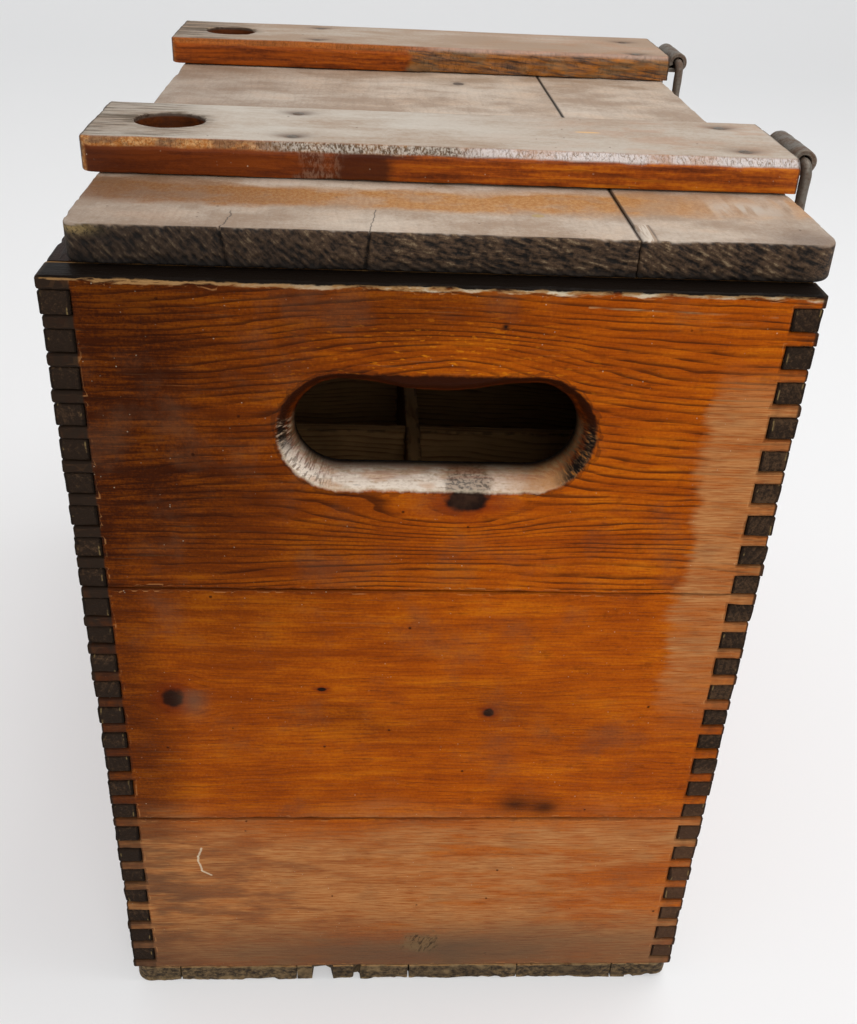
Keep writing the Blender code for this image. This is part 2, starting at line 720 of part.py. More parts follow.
lid_hinge = bpy.data.objects.new("lid_hinge_axis", None)
bpy.context.scene.collection.objects.link(lid_hinge)
lid_hinge.location = (AXIS_X, 0, AXIS_Z)
lid_pair = lid_boards(lid_hinge)
for batten_side, batten_middle, hinge_shift in (
    ("front", -BATTEN_MIDDLE, 0.0),
    ("rear", BATTEN_MIDDLE, REAR_HINGE_SHIFT),
):
    batten_piece = batten(batten_side, batten_middle, lid_hinge)
    finger_hole(batten_side, batten_middle, (batten_piece, lid_pair[0]))
    strap_middle = batten_middle + hinge_shift
    lid_nails(batten_side, (batten_middle, strap_middle), batten_piece, lid_pair, lid_hinge)
    strap(batten_side, strap_middle, batten_piece, lid_hinge)
    wire_loop(batten_side, strap_middle, right_wall[2])
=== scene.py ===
"""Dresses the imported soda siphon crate: worn pine boards, rusty hinges and nails, and a pale studio.

X runs across the end panels, Y along the crate and Z up, in metres. The front end panel faces -Y.
"""

import json
import math
from typing import NamedTuple

import bmesh
import bpy
import numpy as np
from bpy.props import FloatProperty, FloatVectorProperty, PointerProperty
from mathutils import Matrix, Vector
from mathutils.geometry import delaunay_2d_cdt


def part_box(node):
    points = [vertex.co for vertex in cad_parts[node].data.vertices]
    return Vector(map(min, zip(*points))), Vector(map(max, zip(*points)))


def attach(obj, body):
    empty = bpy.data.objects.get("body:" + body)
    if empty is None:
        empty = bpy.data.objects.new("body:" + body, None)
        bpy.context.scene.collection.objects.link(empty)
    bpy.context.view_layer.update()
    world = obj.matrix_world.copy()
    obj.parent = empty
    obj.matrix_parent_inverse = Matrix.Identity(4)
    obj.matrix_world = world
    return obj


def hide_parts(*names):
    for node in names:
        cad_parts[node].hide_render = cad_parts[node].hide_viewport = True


bl_info = {
    "name": "Soda Siphon Crate Finish",
    "version": (1, 0, 0),
    "blender": (4, 5, 0),
    "location": "3D View > Sidebar > Crate",
    "description": "Builds worn boards, iron fittings and a studio round the packed crate",
    "category": "Object",
}

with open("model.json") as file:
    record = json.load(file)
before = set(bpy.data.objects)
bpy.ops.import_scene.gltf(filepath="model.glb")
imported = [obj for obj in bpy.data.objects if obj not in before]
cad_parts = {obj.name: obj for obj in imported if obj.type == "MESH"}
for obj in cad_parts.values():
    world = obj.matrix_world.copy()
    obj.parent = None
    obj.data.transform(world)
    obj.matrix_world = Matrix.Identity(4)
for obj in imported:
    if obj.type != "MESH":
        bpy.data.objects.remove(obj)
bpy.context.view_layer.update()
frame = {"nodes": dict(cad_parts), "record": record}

BODY_OF = {
    node: body
    for body, nodes in frame["record"]["behaviour"]["bodies"].items()
    for node in nodes
}

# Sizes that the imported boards' boxes don't give
FINGER_PITCH = 0.0127
END_FINGER = 0.00476
FIT_GAP = 0.0003
SLOT_REACH = 0.0315
SLOT_RADIUS = 0.0160
SLOT_FLARE = 0.0058
SLOT_DROP = 0.0516
SLOT_SHIFT = 0.0020
SLOT_DIP = 0.0036
LID_CORNER = 0.0080
LID_HINGE_CORNER = 0.0110
BATTEN_CORNER = 0.0045
BATTEN_CHAMFER = 0.0034
BOTTOM_CORNER = 0.0070
HOLE_RADIUS = 0.0127
HOLE_INSET = 0.0267
WIRE_RADIUS = 0.0020
STRAP_THICK = 0.0020
BARREL_BORE = 0.0053
ROLL = math.radians(294)
WIRE_DROP = 0.0110
WIRE_BENDS = (0.0030, 0.0060, 0.0040, 0.0040, 0.0060, 0.0030)
HEAD_THICK = 0.0010
LID_NAIL_SHANK = 0.0028
BOTTOM_NAIL_SHANK = 0.0026
PIN_SHANK = 0.0030
MERGE = 2e-6
SHARP = math.radians(58)
FAR = 0.006
FADE = 0.0008
HAIR = 0.00004
LEAST_AREA = 1e-13
CHUNK = 4000
SENSOR_WIDTH = 36.0
PAPER_GLOW = 0.40

# The studio
CAMERA_PLACE = (-0.0221, -0.52889, 0.45169)
CAMERA_RIGHT = (0.99823, -0.04124, 0.04291)
CAMERA_DOWN = (0.01513, -0.52155, -0.85309)
CAMERA_AHEAD = (0.05756, 0.85223, -0.52000)
CAMERA_LENS = 39.603
CRATE_MIDDLE = (0.0, 0.0, 0.2)
KEY_PLACE = (0.62, 0.05, 1.68)
KEY_WIDTH = 1.0
FILL_PLACE = (0.35, -1.85, 1.15)
FILL_WIDTH = 1.2
BACKDROP_FRONT = -3.0
BACKDROP_BEND = 2.2
BACKDROP_RADIUS = 1.0
BACKDROP_HEIGHT = 2.5
BACKDROP_WIDTH = 9.0


def box(node):
    """A node's lowest and highest corner as arrays."""
    low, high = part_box(node)
    return np.array(low), np.array(high)


def seed_of(node):
    """A node's own number for its random values: the sum of its letters' codes."""
    return sum(map(ord, node))


FRONT = box("front_end_top_board")
WALL_TOP = FRONT[1][2]
WALL_BOTTOM = box("front_end_bottom_board")[0][2]
SIDE_FACE = FRONT[1][0]
END_FACE = -FRONT[0][1]
INNER_END = -FRONT[1][1]
INNER_SIDE = box("right_side_top_board")[0][0]
SLOT_Z = WALL_TOP - SLOT_DROP


def srgb(red, green, blue):
    """A colour written as it looks on a screen, 0 to 255, turned into the linear values that shaders use."""
    shares = np.array((red, green, blue)) / 255
    return tuple(np.where(shares < 0.04045, shares / 12.92, ((shares + 0.055) / 1.055) ** 2.4))


# Numpy surfaces

def random_at(cells, seed):
    """A fixed random number from 0 to 1 for every whole-number cell: its indices multiplied and folded."""
    primes = np.array((73856093, 19349663, 83492791), np.uint64)[: cells.shape[-1]]
    mixed = (cells.astype(np.uint64) * primes).sum(-1) + np.uint64(seed * 974634777 + 12345)
    for shift, factor in ((15, 2246822519), (13, 3266489917), (16, 668265263)):
        mixed = (mixed ^ (mixed >> np.uint64(shift))) * np.uint64(factor) & np.uint64(0xFFFFFFFF)
    return (mixed >> np.uint64(8)).astype(float) / 2**24


def noise(points, size, seed=0):
    """Value noise from -1 to 1: random values at the corners of cells of a size, blended by 3t^2 - 2t^3."""
    scaled = np.asarray(points, float) / size
    whole = np.floor(scaled).astype(np.int64)
    part = scaled - whole
    part = part * part * (3 - 2 * part)
    total = np.zeros(scaled.shape[:-1])
    for corner in np.ndindex(*(2,) * scaled.shape[-1]):
        weight = np.prod(np.where(np.array(corner) == 1, part, 1 - part), axis=-1)
        total += weight * random_at(whole + np.array(corner), seed)
    return 2 * total - 1


def ramp(values, low, high):
    """0 below low, 1 above high and 3t^2 - 2t^3 in between."""
    t = np.clip((values - low) / (high - low), 0, 1)
    return t * t * (3 - 2 * t)


class Outline:
    """A closed line of points that can be drawn in from its edge by any distance without crossing itself.

    Every point lies a share t of the way between two corner tracks. A corner's track first runs towards the
    centre of its arc and, past the arc's radius, along the mitre, so the inset point for a distance d is
    (1 - t) A(d) + t B(d) with A(d) = end - min(d, radius) * out + max(d - radius, 0) * mitre.
    """

    def __init__(self, corners, softness=0.0, spacing=0.002):
        corners = np.asarray(corners, float)
        count = len(corners)
        softness = np.broadcast_to(softness, count)
        spacing = np.broadcast_to(spacing, count)
        edges = np.roll(corners, -1, 0) - corners
        lengths = np.linalg.norm(edges, axis=1)
        ahead = edges / lengths[:, None]
        inward = np.stack((-ahead[:, 1], ahead[:, 0]), 1)
        before = np.roll(inward, 1, 0)
        mitre = (before + inward) / (1 + (before * inward).sum(1))[:, None]
        rows = []
        for number in range(count):
            following = (number + 1) % count
            arc = self.arc(corners[number], mitre[number], before[number], inward[number],
                           softness[number], spacing[number])
            start = arc[-1]
            end = self.arc(corners[following], mitre[following], inward[number], inward[following],
                           softness[following], spacing[following])[0]
            rows += [(*track, *track, 0.0, number) for track in arc]
            run = np.linalg.norm(end[:2] - start[:2])
            pieces = max(1, round(run / spacing[number]))
            rows += [(*start, *end, step / pieces, -1) for step in range(1, pieces)]
        table = np.array(rows)
        self.tracks = table[:, :7], table[:, 7:14]
        self.share = table[:, 14:15]
        self.corner = table[:, 15].astype(int)
        self.points = self.inset(np.zeros(len(table)))
        steps = np.linalg.norm(np.roll(self.points, -1, 0) - self.points, axis=1)
        self.along = np.concatenate(([0], np.cumsum(steps)[:-1]))

    def level(self, values):
        """The values with one mean for all the points of a corner's arc, so that it can shrink to a point."""
        numbers = self.corner + 1
        means = np.bincount(numbers, values) / np.maximum(np.bincount(numbers), 1)
        return np.where(numbers > 0, means[numbers], values)

    @staticmethod
    def arc(corner, mitre, first, last, radius, spacing):
        """The corner's tracks: one at a sharp corner, or a few round an arc between the edges' normals."""
        if radius <= 0:
            return [np.array((*corner, 0, 0, *mitre, 0))]
        turn = math.acos(max(-1.0, min(1.0, float(first @ last))))
        pieces = max(2, round(turn * radius / spacing))
        centre = corner + radius * mitre
        tracks = []
        for step in range(pieces + 1):
            out = -(first * math.sin(turn * (1 - step / pieces)) + last * math.sin(turn * step / pieces))
            out = out / np.linalg.norm(out)
            tracks.append(np.array((*(centre + radius * out), *out, *mitre, radius)))
        return tracks

    def inset(self, distance):
        """Where every point goes when it is drawn in by its own distance."""
        placed = []
        for track in self.tracks:
            radius = track[:, 6]
            straight = np.minimum(distance, radius)[:, None] * track[:, 2:4]
            beyond = np.maximum(distance - radius, 0)[:, None] * track[:, 4:6]
            placed.append(track[:, 0:2] - straight + beyond)
        return placed[0] * (1 - self.share) + placed[1] * self.share


def worn_rows(outline, low, high, wear_low, wear_high, levels, fade=FADE):
    """Rings over a board's edge: in on the low face, round its arris, up the side and round the high arris.

    An arris of radius r is inset r(1 - sin q) and raised r(1 - cos q) for q from 0 to a right angle. Returns
    insets, heights and distances from the nearest arris, ring by ring.
    """
    size = len(outline.points)
    wear_low = np.broadcast_to(wear_low, size)
    wear_high = np.broadcast_to(wear_high, size)
    quarter = np.radians((0.0, 14.0, 45.0, 76.0, 90.0))[:, None]
    drawn = 1 - np.sin(quarter)
    risen = 1 - np.cos(quarter)
    insets = [wear_low + fade, *(wear_low * drawn)]
    heights = [np.full(size, low), *(low + wear_low * risen)]
    edges = [np.full(size, fade), *np.zeros((5, size))]
    for level in levels:
        height = np.clip(level, low + wear_low, high - wear_high)
        insets.append(np.zeros(size))
        heights.append(height)
        edges.append(np.minimum(height - low - wear_low, high - wear_high - height))
    insets += [*(wear_high * drawn)[::-1], wear_high + fade]
    heights += [*(high - wear_high * risen)[::-1], np.full(size, high)]
    edges += [*np.zeros((5, size)), np.full(size, fade)]
    return np.array(insets), np.array(heights), np.array(edges)


def inside(points, outlines):
    """Which points lie in the outer outline and in no hole: an odd number of edges cross the ray to +a."""
    crossings = np.zeros(len(points), int)
    for outline in outlines:
        first = outline
        second = np.roll(outline, -1, 0)
        for start in range(0, len(points), CHUNK):
            some = slice(start, start + CHUNK)
            a = points[some, 0:1]
            b = points[some, 1:2]
            spans = (first[:, 1] > b) != (second[:, 1] > b)
            rise = second[:, 1] - first[:, 1]
            slope = (second[:, 0] - first[:, 0]) / np.where(rise == 0, 1, rise)
            reach = first[:, 0] + (b - first[:, 1]) * slope
            crossings[some] += (spans & (a < reach)).sum(1)
    return crossings % 2 == 1


def nearest(points, others):
    """Each point's distance to the nearest of some other points, a few hundred points at a time."""
    away = np.zeros(len(points))
    for start in range(0, len(points), CHUNK // 8):
        some = slice(start, start + CHUNK // 8)
        away[some] = np.linalg.norm(points[some, None] - others[None], axis=2).min(1)
    return away


def cap(outlines, spacing, extra=None):
    """Fills a face between outlines: a staggered grid of points, triangulated with the outlines kept."""
    border = np.concatenate(outlines)
    low = border.min(0)
    high = border.max(0)
    a, b = np.meshgrid(np.arange(low[0], high[0], spacing), np.arange(low[1], high[1], spacing * 0.87))
    a = a + (np.arange(len(a)) % 2)[:, None] * spacing / 2
    grid = np.stack((a.ravel(), b.ravel()), 1)
    if extra is not None:
        grid = np.concatenate((grid[nearest(grid, extra) > spacing * 0.7], extra))
    grid = grid[inside(grid, outlines)]
    grid = grid[nearest(grid, border) > min(spacing * 0.45, 0.0012)]
    edges = []
    start = 0
    for outline in outlines:
        numbers = np.arange(len(outline))
        edges += np.stack((start + numbers, start + np.roll(numbers, -1)), 1).tolist()
        start += len(outline)
    given = [Vector(point) for point in np.concatenate((border, grid)).tolist()]
    made = delaunay_2d_cdt(given, edges, [], 0, 1e-9)
    places = np.array([tuple(point) for point in made[0]])
    corners = np.array([face for face in made[2] if len(face) == 3])
    triangles = places[corners]
    corners = corners[inside(triangles.mean(1), outlines)]
    first, second, third = places[corners[:, 0]], places[corners[:, 1]], places[corners[:, 2]]
    area = np.cross(second - first, third - first)
    corners = corners[np.abs(area) > LEAST_AREA]
    area = area[np.abs(area) > LEAST_AREA]
    corners[area < 0] = corners[area < 0][:, ::-1]
    return places, corners


def slab(loops, axis, spacing=0.005, extra=None):
    """A board: every loop's rings carried over its edge, and the two faces filled between the last rings.

    loops holds pairs of an outline and its rows. Returns points, faces and each point's way to an arris.
    """
    order = {"X": (2, 0, 1), "Y": (0, 2, 1), "Z": (0, 1, 2)}[axis]
    points = []
    faces = []
    edges = []
    count = 0
    rims = {0: [], -1: []}
    for outline, (insets, heights, distances) in loops:
        rings = np.stack([outline.inset(inset) for inset in insets])
        ring_points = np.concatenate((rings, heights[:, :, None]), 2)
        rows, columns = heights.shape
        index = np.arange(rows * columns).reshape(rows, columns) + count
        right = np.roll(index, -1, 1)
        faces += np.stack((index[:-1], right[:-1], right[1:], index[1:]), 2).reshape(-1, 4).tolist()
        points.append(ring_points.reshape(-1, 3))
        edges.append(distances.ravel())
        count += rows * columns
        for row in (0, -1):
            rims[row].append((rings[row], heights[row]))
    for row in (0, -1):
        places, corners = cap([ring for ring, height in rims[row]], spacing, extra)
        height = float(np.concatenate([height for ring, height in rims[row]]).mean())
        points.append(np.concatenate((places, np.full((len(places), 1), height)), 1))
        edges.append(np.full(len(places), FAR))
        faces += (corners[:, ::-1 if row == 0 else 1] + count).tolist()
        count += len(places)
    points = np.concatenate(points)[:, order]
    if axis == "Y":
        faces = [face[::-1] for face in faces]
    return points, faces, np.concatenate(edges)


def tube(path, radius, sides, seed):
    """A rod along a path: rings r(cos t u + sin t v) at every point, u carried along, closed at both ends."""
    path = np.asarray(path, float)
    ahead = np.gradient(path, axis=0)
    ahead = ahead / np.linalg.norm(ahead, axis=1)[:, None]
    across = np.zeros_like(path)
    guide = np.array((0.0, 1.0, 0.0)) if abs(ahead[0][1]) < 0.9 else np.array((1.0, 0.0, 0.0))
    for number, direction in enumerate(ahead):
        guide = guide - direction * (guide @ direction)
        guide = guide / np.linalg.norm(guide)
        across[number] = guide
    beyond = np.cross(ahead, across)
    turn = np.linspace(0, 2 * np.pi, sides, endpoint=False)
    steps = np.concatenate(([0], np.cumsum(np.linalg.norm(np.diff(path, axis=0), axis=1))))
    ends = np.minimum(steps, steps[-1] - steps)
    taper = np.sqrt(np.clip(1 - (1 - np.clip(ends / radius, 0, 1)) ** 2, 0.0, 1))
    around = np.stack(np.broadcast_arrays(steps[:, None] / 0.004, np.cos(turn) * 1.3, np.sin(turn) * 1.3), 2)
    uneven = 0.07 * noise(around, 1.0, seed) + 0.03 * noise(around, 0.4, seed + 1)
    swell = radius * taper[:, None] * (1 + uneven)
    rings = path[:, None] + swell[:, :, None] * (
        np.cos(turn)[:, None] * across[:, None] + np.sin(turn)[:, None] * beyond[:, None])
    return grid_surface(rings)


def grid_surface(rings):
    """Points and faces of rings that close on themselves; the first and last ring may shrink to a point."""
    rows, columns = rings.shape[:2]
    index = np.arange(rows * columns).reshape(rows, columns)
    right = np.roll(index, -1, 1)
    faces = np.stack((index[:-1], right[:-1], right[1:], index[1:]), 2).reshape(-1, 4).tolist()
    return rings.reshape(-1, 3), faces, np.full(rows * columns, FAR)


def turned(profile, centre, axis, sides, seed, uneven):
    """A turned piece: rings of radius r at height h along an axis, with radii that vary by noise round it."""
    axis = np.asarray(axis, float)
    across = np.array((1.0, 0.0, 0.0)) if abs(axis[0]) < 0.9 else np.array((0.0, 1.0, 0.0))
    beyond = np.cross(axis, across)
    turn = np.linspace(0, 2 * np.pi, sides, endpoint=False)
    radius, height = np.array(profile).T
    circle = np.stack((np.cos(turn), np.sin(turn)), 1)
    swell = 1 + uneven * noise(circle * 1.4 + seed, 1.0, seed)
    reach = radius[:, None] * swell
    rings = (np.asarray(centre) + height[:, None, None] * axis
             + reach[:, :, None] * (circle[None, :, 0:1] * across + circle[None, :, 1:2] * beyond))
    return grid_surface(rings)


def dress(node, surface, material, suffix="worn", relief=None):
    """Makes a surface an object that stands for a CAD node, on that node's body."""
    points, faces, edges = surface
    name = f"{node}_{suffix}"
    mesh = bpy.data.meshes.new(name)
    mesh.from_pydata(points.tolist(), [], faces)
    mesh.attributes.new("edge", "FLOAT", "POINT").data.foreach_set("value", edges.astype(np.float32))
    if relief is not None:
        mesh.attributes.new("relief", "FLOAT", "POINT").data.foreach_set("value", relief.astype(np.float32))
    work = bmesh.new()
    work.from_mesh(mesh)
    bmesh.ops.remove_doubles(work, verts=work.verts, dist=MERGE)
    if work.calc_volume(signed=True) < 0:
        bmesh.ops.reverse_faces(work, faces=work.faces)
    loose = sum(not edge.is_manifold for edge in work.edges)
    work.to_mesh(mesh)
    work.free()
    if loose:
        raise RuntimeError(f"{name} isn't closed: {loose} edges")
    mesh.shade_smooth()
    mesh.set_sharp_from_angle(angle=SHARP)
    mesh.materials.append(material)
    piece = bpy.data.objects.new(name, mesh)
    bpy.context.scene.collection.objects.link(piece)
    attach(piece, BODY_OF[node])
    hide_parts(node)
    return piece


# Shader expressions

def joined(operation, swapped=False):
    """An operator that puts a value and another one, or a number, into a Math node."""

    def join(self, other=0.0):
        pair = (other, self) if swapped else (self, other)
        return self.shade.maths(operation, *pair)

    return join


class Value:
    """One number of a shader that takes part in sums: every operator adds a Math node."""

    __add__ = joined("ADD")
    __radd__ = joined("ADD", True)
    __sub__ = joined("SUBTRACT")
    __rsub__ = joined("SUBTRACT", True)
    __mul__ = joined("MULTIPLY")
    __rmul__ = joined("MULTIPLY", True)
    __truediv__ = joined("DIVIDE")
    __pow__ = joined("POWER")
    __abs__ = joined("ABSOLUTE")

    def __init__(self, shade, socket):
        self.shade = shade
        self.socket = socket

    def step(self, low, high):
        """0 below low and 1 above high, with a smooth step between; low may be the larger one."""
        ends = {"From Min": low, "From Max": high, "To Min": 0.0, "To Max": 1.0}
        if low > high:
            ends = {"From Min": high, "From Max": low, "To Min": 1.0, "To Max": 0.0}
        settings = {"interpolation_type": "SMOOTHSTEP"}
        node = self.shade.add("MapRange", settings, {"Value": self, **ends})
        return Value(self.shade, node.outputs["Result"])

    def between(self, low, full, fading, high):
        """1 from full to fading and 0 outside low and high, with smooth steps between."""
        return self.step(low, full) * self.step(high, fading)


class Shade:
    """A material under construction: its nodes are written as expressions and its colour grows coat by coat.

    A board's material knows the grain of its board, whose seed moves every noise to a place of its own. axes
    holds X, Y and Z, and lying the axes along the grain, across it and through the board.
    """

    def __init__(self, name, grain=None):
        self.grain = grain
        self.seed = grain.seed if grain else 0.0
        self.colour = None
        self.material = bpy.data.materials.new(name)
        self.material.use_nodes = True
        self.tree = self.material.node_tree
        self.tree.nodes.clear()
        self.place = self.add("TexCoord").outputs["Object"]
        split = self.add("SeparateXYZ", {}, {"Vector": self.place})
        self.axes = [Value(self, split.outputs[number]) for number in range(3)]
        if grain:
            lying = (grain.along, grain.across, 3 - grain.along - grain.across)
            self.lying = [self.axes[number] for number in lying]

    def add(self, kind, settings=None, sockets=None):
        """Adds a node: its settings first, and then its sockets' values or links."""
        node = self.tree.nodes.new(f"ShaderNode{kind}")
        for name, setting in (settings or {}).items():
            setattr(node, name, setting)
        for name, value in (sockets or {}).items():
            if isinstance(value, Value):
                self.tree.links.new(value.socket, node.inputs[name])
            elif isinstance(value, bpy.types.NodeSocket):
                self.tree.links.new(value, node.inputs[name])
            elif node.inputs[name].type == "RGBA":
                node.inputs[name].default_value = (*value[:3], 1.0)
            else:
                node.inputs[name].default_value = value
        return node

    def maths(self, operation, first, second=0.0):
        node = self.add("Math", {"operation": operation}, {0: first, 1: second})
        return Value(self, node.outputs[0])

    def most(self, first, second):
        """The larger of two values."""
        return self.maths("MAXIMUM", first, second)

    def least(self, first, second):
        """The smaller of two values."""
        return self.maths("MINIMUM", first, second)

    def length(self, first, second):
        """The length of a way whose parts along two axes are given."""
        return self.maths("SQRT", first * first + second * second)

    def mix(self, share, first, second):
        """One colour turned into another by a share."""
        node = self.add("Mix", {"data_type": "RGBA"}, {0: share, 6: first, 7: second})
        return node.outputs[2]

    def coated(self, colour, *coats):
        """A colour under coats that are laid over it one by one, each a share and a colour."""
        for share, over in coats:
            colour = self.mix(share, colour, over)
        return colour

    def coat(self, share, colour):
        """Turns the material's colour so far into another by a share."""
        self.colour = self.mix(share, self.colour, colour)

    def stretched(self, size, seed, turn=0.0):
        """Object coordinates moved by a seed, turned about Y and divided by a cell size along each axis."""
        seed += self.seed
        sockets = {"Vector": self.place, "Scale": tuple(np.broadcast_to(size, 3)),
                   "Rotation": (0.0, turn, 0.0), "Location": (seed * 0.17, seed * 0.23, seed * 0.31)}
        return self.add("Mapping", {"vector_type": "TEXTURE"}, sockets).outputs[0]

    def noise_at(self, place, detail, rough):
        """Noise from 0 to 1 at a place given in cells."""
        sockets = {"Vector": place, "Scale": 1.0, "Detail": detail, "Roughness": rough}
        return Value(self, self.add("TexNoise", {}, sockets).outputs["Fac"])

    def noise(self, size, seed=0.0, detail=2.0, rough=0.5, turn=0.0):
        """Noise from 0 to 1 with cells of a size along each axis."""
        return self.noise_at(self.stretched(size, seed, turn), detail, rough)

    def fibres(self, long, wide, seed, detail=2.0, rough=0.5):
        """Noise with cells that are long with the grain and wide across it."""
        return self.noise(self.grain.cells(long, wide), seed, detail, rough)

    def specks(self, size, radius, seed=0.0):
        """Soft dots, one in every cell of a size, of a radius in cells."""
        sockets = {"Vector": self.stretched(size, seed), "Scale": 1.0}
        found = Value(self, self.add("TexVoronoi", {}, sockets).outputs["Distance"])
        return found.step(radius, radius * 0.4)

    def attribute(self, name):
        """One of the mesh's own numbers: edge is the way to an arris in metres, relief a pit's depth."""
        node = self.add("Attribute", {"attribute_name": name})
        return Value(self, node.outputs["Fac"])

    def hill(self, first, second, middle, reach):
        """1 at a middle in two coordinates and falling to 0 past a reach: e to the minus squared distance."""
        a = (first - middle[0]) / reach[0]
        b = (second - middle[1]) / reach[1]
        return self.maths("EXPONENT", 0.0 - a * a - b * b)

    def stroke(self, first, second, start, end, width):
        """1 on a straight stroke between two points in two coordinates, and 0 past its width."""
        run = (end[0] - start[0], end[1] - start[1])
        length = run[0] ** 2 + run[1] ** 2
        a = first - start[0]
        b = second - start[1]
        share = self.least(self.most((a * run[0] + b * run[1]) / length, 0.0), 1.0)
        return self.length(a - share * run[0], b - share * run[1]).step(width, width * 0.3)

    def surface(self, roughness, height, distance, specular, metallic=0.0):
        """Ends the material in one Principled shader, bumped by a height times a distance."""
        bump = self.add("Bump", {}, {"Height": height, "Distance": distance}).outputs["Normal"]
        sockets = {"Base Color": self.colour, "Roughness": roughness, "Metallic": metallic, "Normal": bump,
                   "Specular IOR Level": specular}
        shader = self.add("BsdfPrincipled", {}, sockets)
        self.add("OutputMaterial", {}, {"Surface": shader.outputs["BSDF"]})
        return self.material

    def paper(self, colour, haze):
        """Ends the material in matt paper that partly glows where it is seen, so that shadows stay soft."""
        matt = self.add("BsdfDiffuse", {}, {"Color": colour}).outputs[0]
        glow = self.add("Emission", {}, {"Color": haze, "Strength": 1.0}).outputs[0]
        path = self.add("LightPath")
        seen = Value(self, path.outputs["Is Camera Ray"])
        for ray in ("Is Glossy Ray", "Is Transmission Ray"):
            seen = self.most(seen, path.outputs[ray])
        both = self.add("MixShader", {}, {0: seen * PAPER_GLOW, 1: matt, 2: glow}).outputs[0]
        self.add("OutputMaterial", {}, {"Surface": both})
        return self.material


class Grain(NamedTuple):
    """How the rings of one board's tree lie: the axis of the grain, the pith beside it and the ring width.

    Hills and knots are placed on the axes along and across, and pith is the place of the tree's heart on
    across and on the third axis. depth is how dark the latewood looks under varnish.
    """

    along: int
    across: int
    pith: tuple
    ring: float = 0.0030
    seed: float = 0.0
    depth: float = 0.4
    hills: tuple = ()
    knots: tuple = ()

    def cells(self, long, wide):
        """A cell size along the three axes, long with the grain and wide across it."""
        size = [wide, wide, wide]
        size[self.along] = long
        return tuple(size)


def rings(shade):
    """Latewood lines from 0 to 1, bent round hills and knots and broken along their way, and fibres.

    The rings are the whole parts of the distance from the pith over the ring width; each darkens slowly
    outwards and ends in a thin, sharp line.
    """
    grain = shade.grain
    along, across, through = shade.lying
    lifted = across
    for middle, reach, lift in grain.hills:
        lifted = lifted - shade.hill(along, across, middle, reach) * lift
    for middle, reach in grain.knots:
        wide = (reach[0] * 3.2, reach[1] * 2.6)
        lifted = lifted - (across - middle[1]) * shade.hill(along, across, middle, wide) * 0.9
    sway = shade.fibres(0.16, 0.05, 0) - 0.5
    ripple = shade.fibres(0.022, 0.007, 5) - 0.5
    radius = shade.length(lifted - grain.pith[0], through - grain.pith[1]) + sway * 0.022 + ripple * 0.0024
    spread = radius / grain.ring + (shade.fibres(2.0, 0.011, 9, 1.0) - 0.5) * 2.0
    part = shade.maths("FRACT", spread)
    broken = shade.fibres(0.026, 0.0030, 6, 3.0, 0.6).step(0.36, 0.60)
    late = (part ** 2 * 0.35 + part.between(0.50, 0.86, 0.95, 1.0) * 0.75) * (0.40 + broken)
    fibre = shade.fibres(0.013, 0.00050, 3, 3.0, 0.65)
    return late, fibre


def end_rings(shade):
    """The rings where they are cut across: dark latewood lines from 0 to 1 round the pith."""
    grain = shade.grain
    _, across, through = shade.lying
    radius = shade.length(across - grain.pith[0], through - grain.pith[1])
    return shade.maths("FRACT", radius / grain.ring) ** 1.6


def knot_masks(shade):
    """Cores and halos of a board's knots, each the largest of its own, with wobbly rims."""
    along, across, _ = shade.lying
    core = 0.0
    halo = 0.0
    for number, (middle, reach) in enumerate(shade.grain.knots):
        away = shade.length((along - middle[0]) / reach[0], (across - middle[1]) / reach[1])
        away = away + shade.noise(0.004, number) * 0.7
        core = shade.most(core, away.step(1.45, 1.0))
        halo = shade.most(halo, away.step(2.9, 1.1))
    return core, halo


# Materials

# Marks that one board alone has: where they are and how far they reach, on the two axes of its face. A
# break in a bottom board has a middle, a width and a depth; a crack has a place, a lean and an end.
SLOT_KNOT = (0.0131, 0.2562)
END_CLOUD = ((0.0, 0.158), (0.060, 0.016))
FOOT_DIRT = ((0.0, 0.020), (0.055, 0.014))
NAIL_HOLE = ((0.0214, 0.3191), (0.0011, 0.0011))
SCRATCH = ((0.047, 0.3262), (0.107, 0.3243))
# GLEAM places painted glints near the grain's arch above the slot.
GLEAM = ((0.004, 0.303), (0.040, 0.016))
KNOT_HAZE = ((-0.0850, 0.1660), (0.0048, 0.0075))
SMUDGES = (((0.0416, 0.1120), (0.0075, 0.0050)), ((0.0537, 0.1098), (0.0060, 0.0046)))
GOUGE = (0.0060, 0.0255)
GOUGE_REACH = (0.0100, 0.0075)
HOOK = ((-0.0870, 0.0862), (-0.0889, 0.0812), (-0.0874, 0.0725), (-0.0840, 0.0700))
SLOT_CHAR = ((SLOT_KNOT[0], SLOT_Z - SLOT_RADIUS - 0.0040), (0.0085, 0.0070))
BREAKS = {
    "left": ((-0.1010, 0.0006, 0.0016),),
    "middle": ((-0.0375, 0.0095, 0.0072), (-0.0220, 0.0032, 0.0036), (0.0014, 0.0007, 0.0040)),
    "right": ((0.0947, 0.0006, 0.0030), (0.1035, 0.0040, 0.0009)),
}
LID_BAND = (-0.1690, -0.1600, -0.1430, -0.1340)
LID_SEAM = 0.0629
LID_DRIP = ((0.0333, -0.1666), (0.0022, 0.0018))
LID_SCUFF = ((0.1060, -0.1520), (0.0180, 0.0120))
LID_DARK_CORNER = ((0.1180, -0.1860), (0.0150, 0.0120))
LID_CRACKS = ((-0.0675, 0.16, -0.172), (-0.0215, -0.10, -0.166))
LID_CRACK_START = -0.1906
SEAM_CHIP_LENGTH = 0.0170
SEAM_CHIP_EDGE = 0.0684
BATTEN_CHIP = ((0.0588, -0.1014), (0.0052, 0.0012))
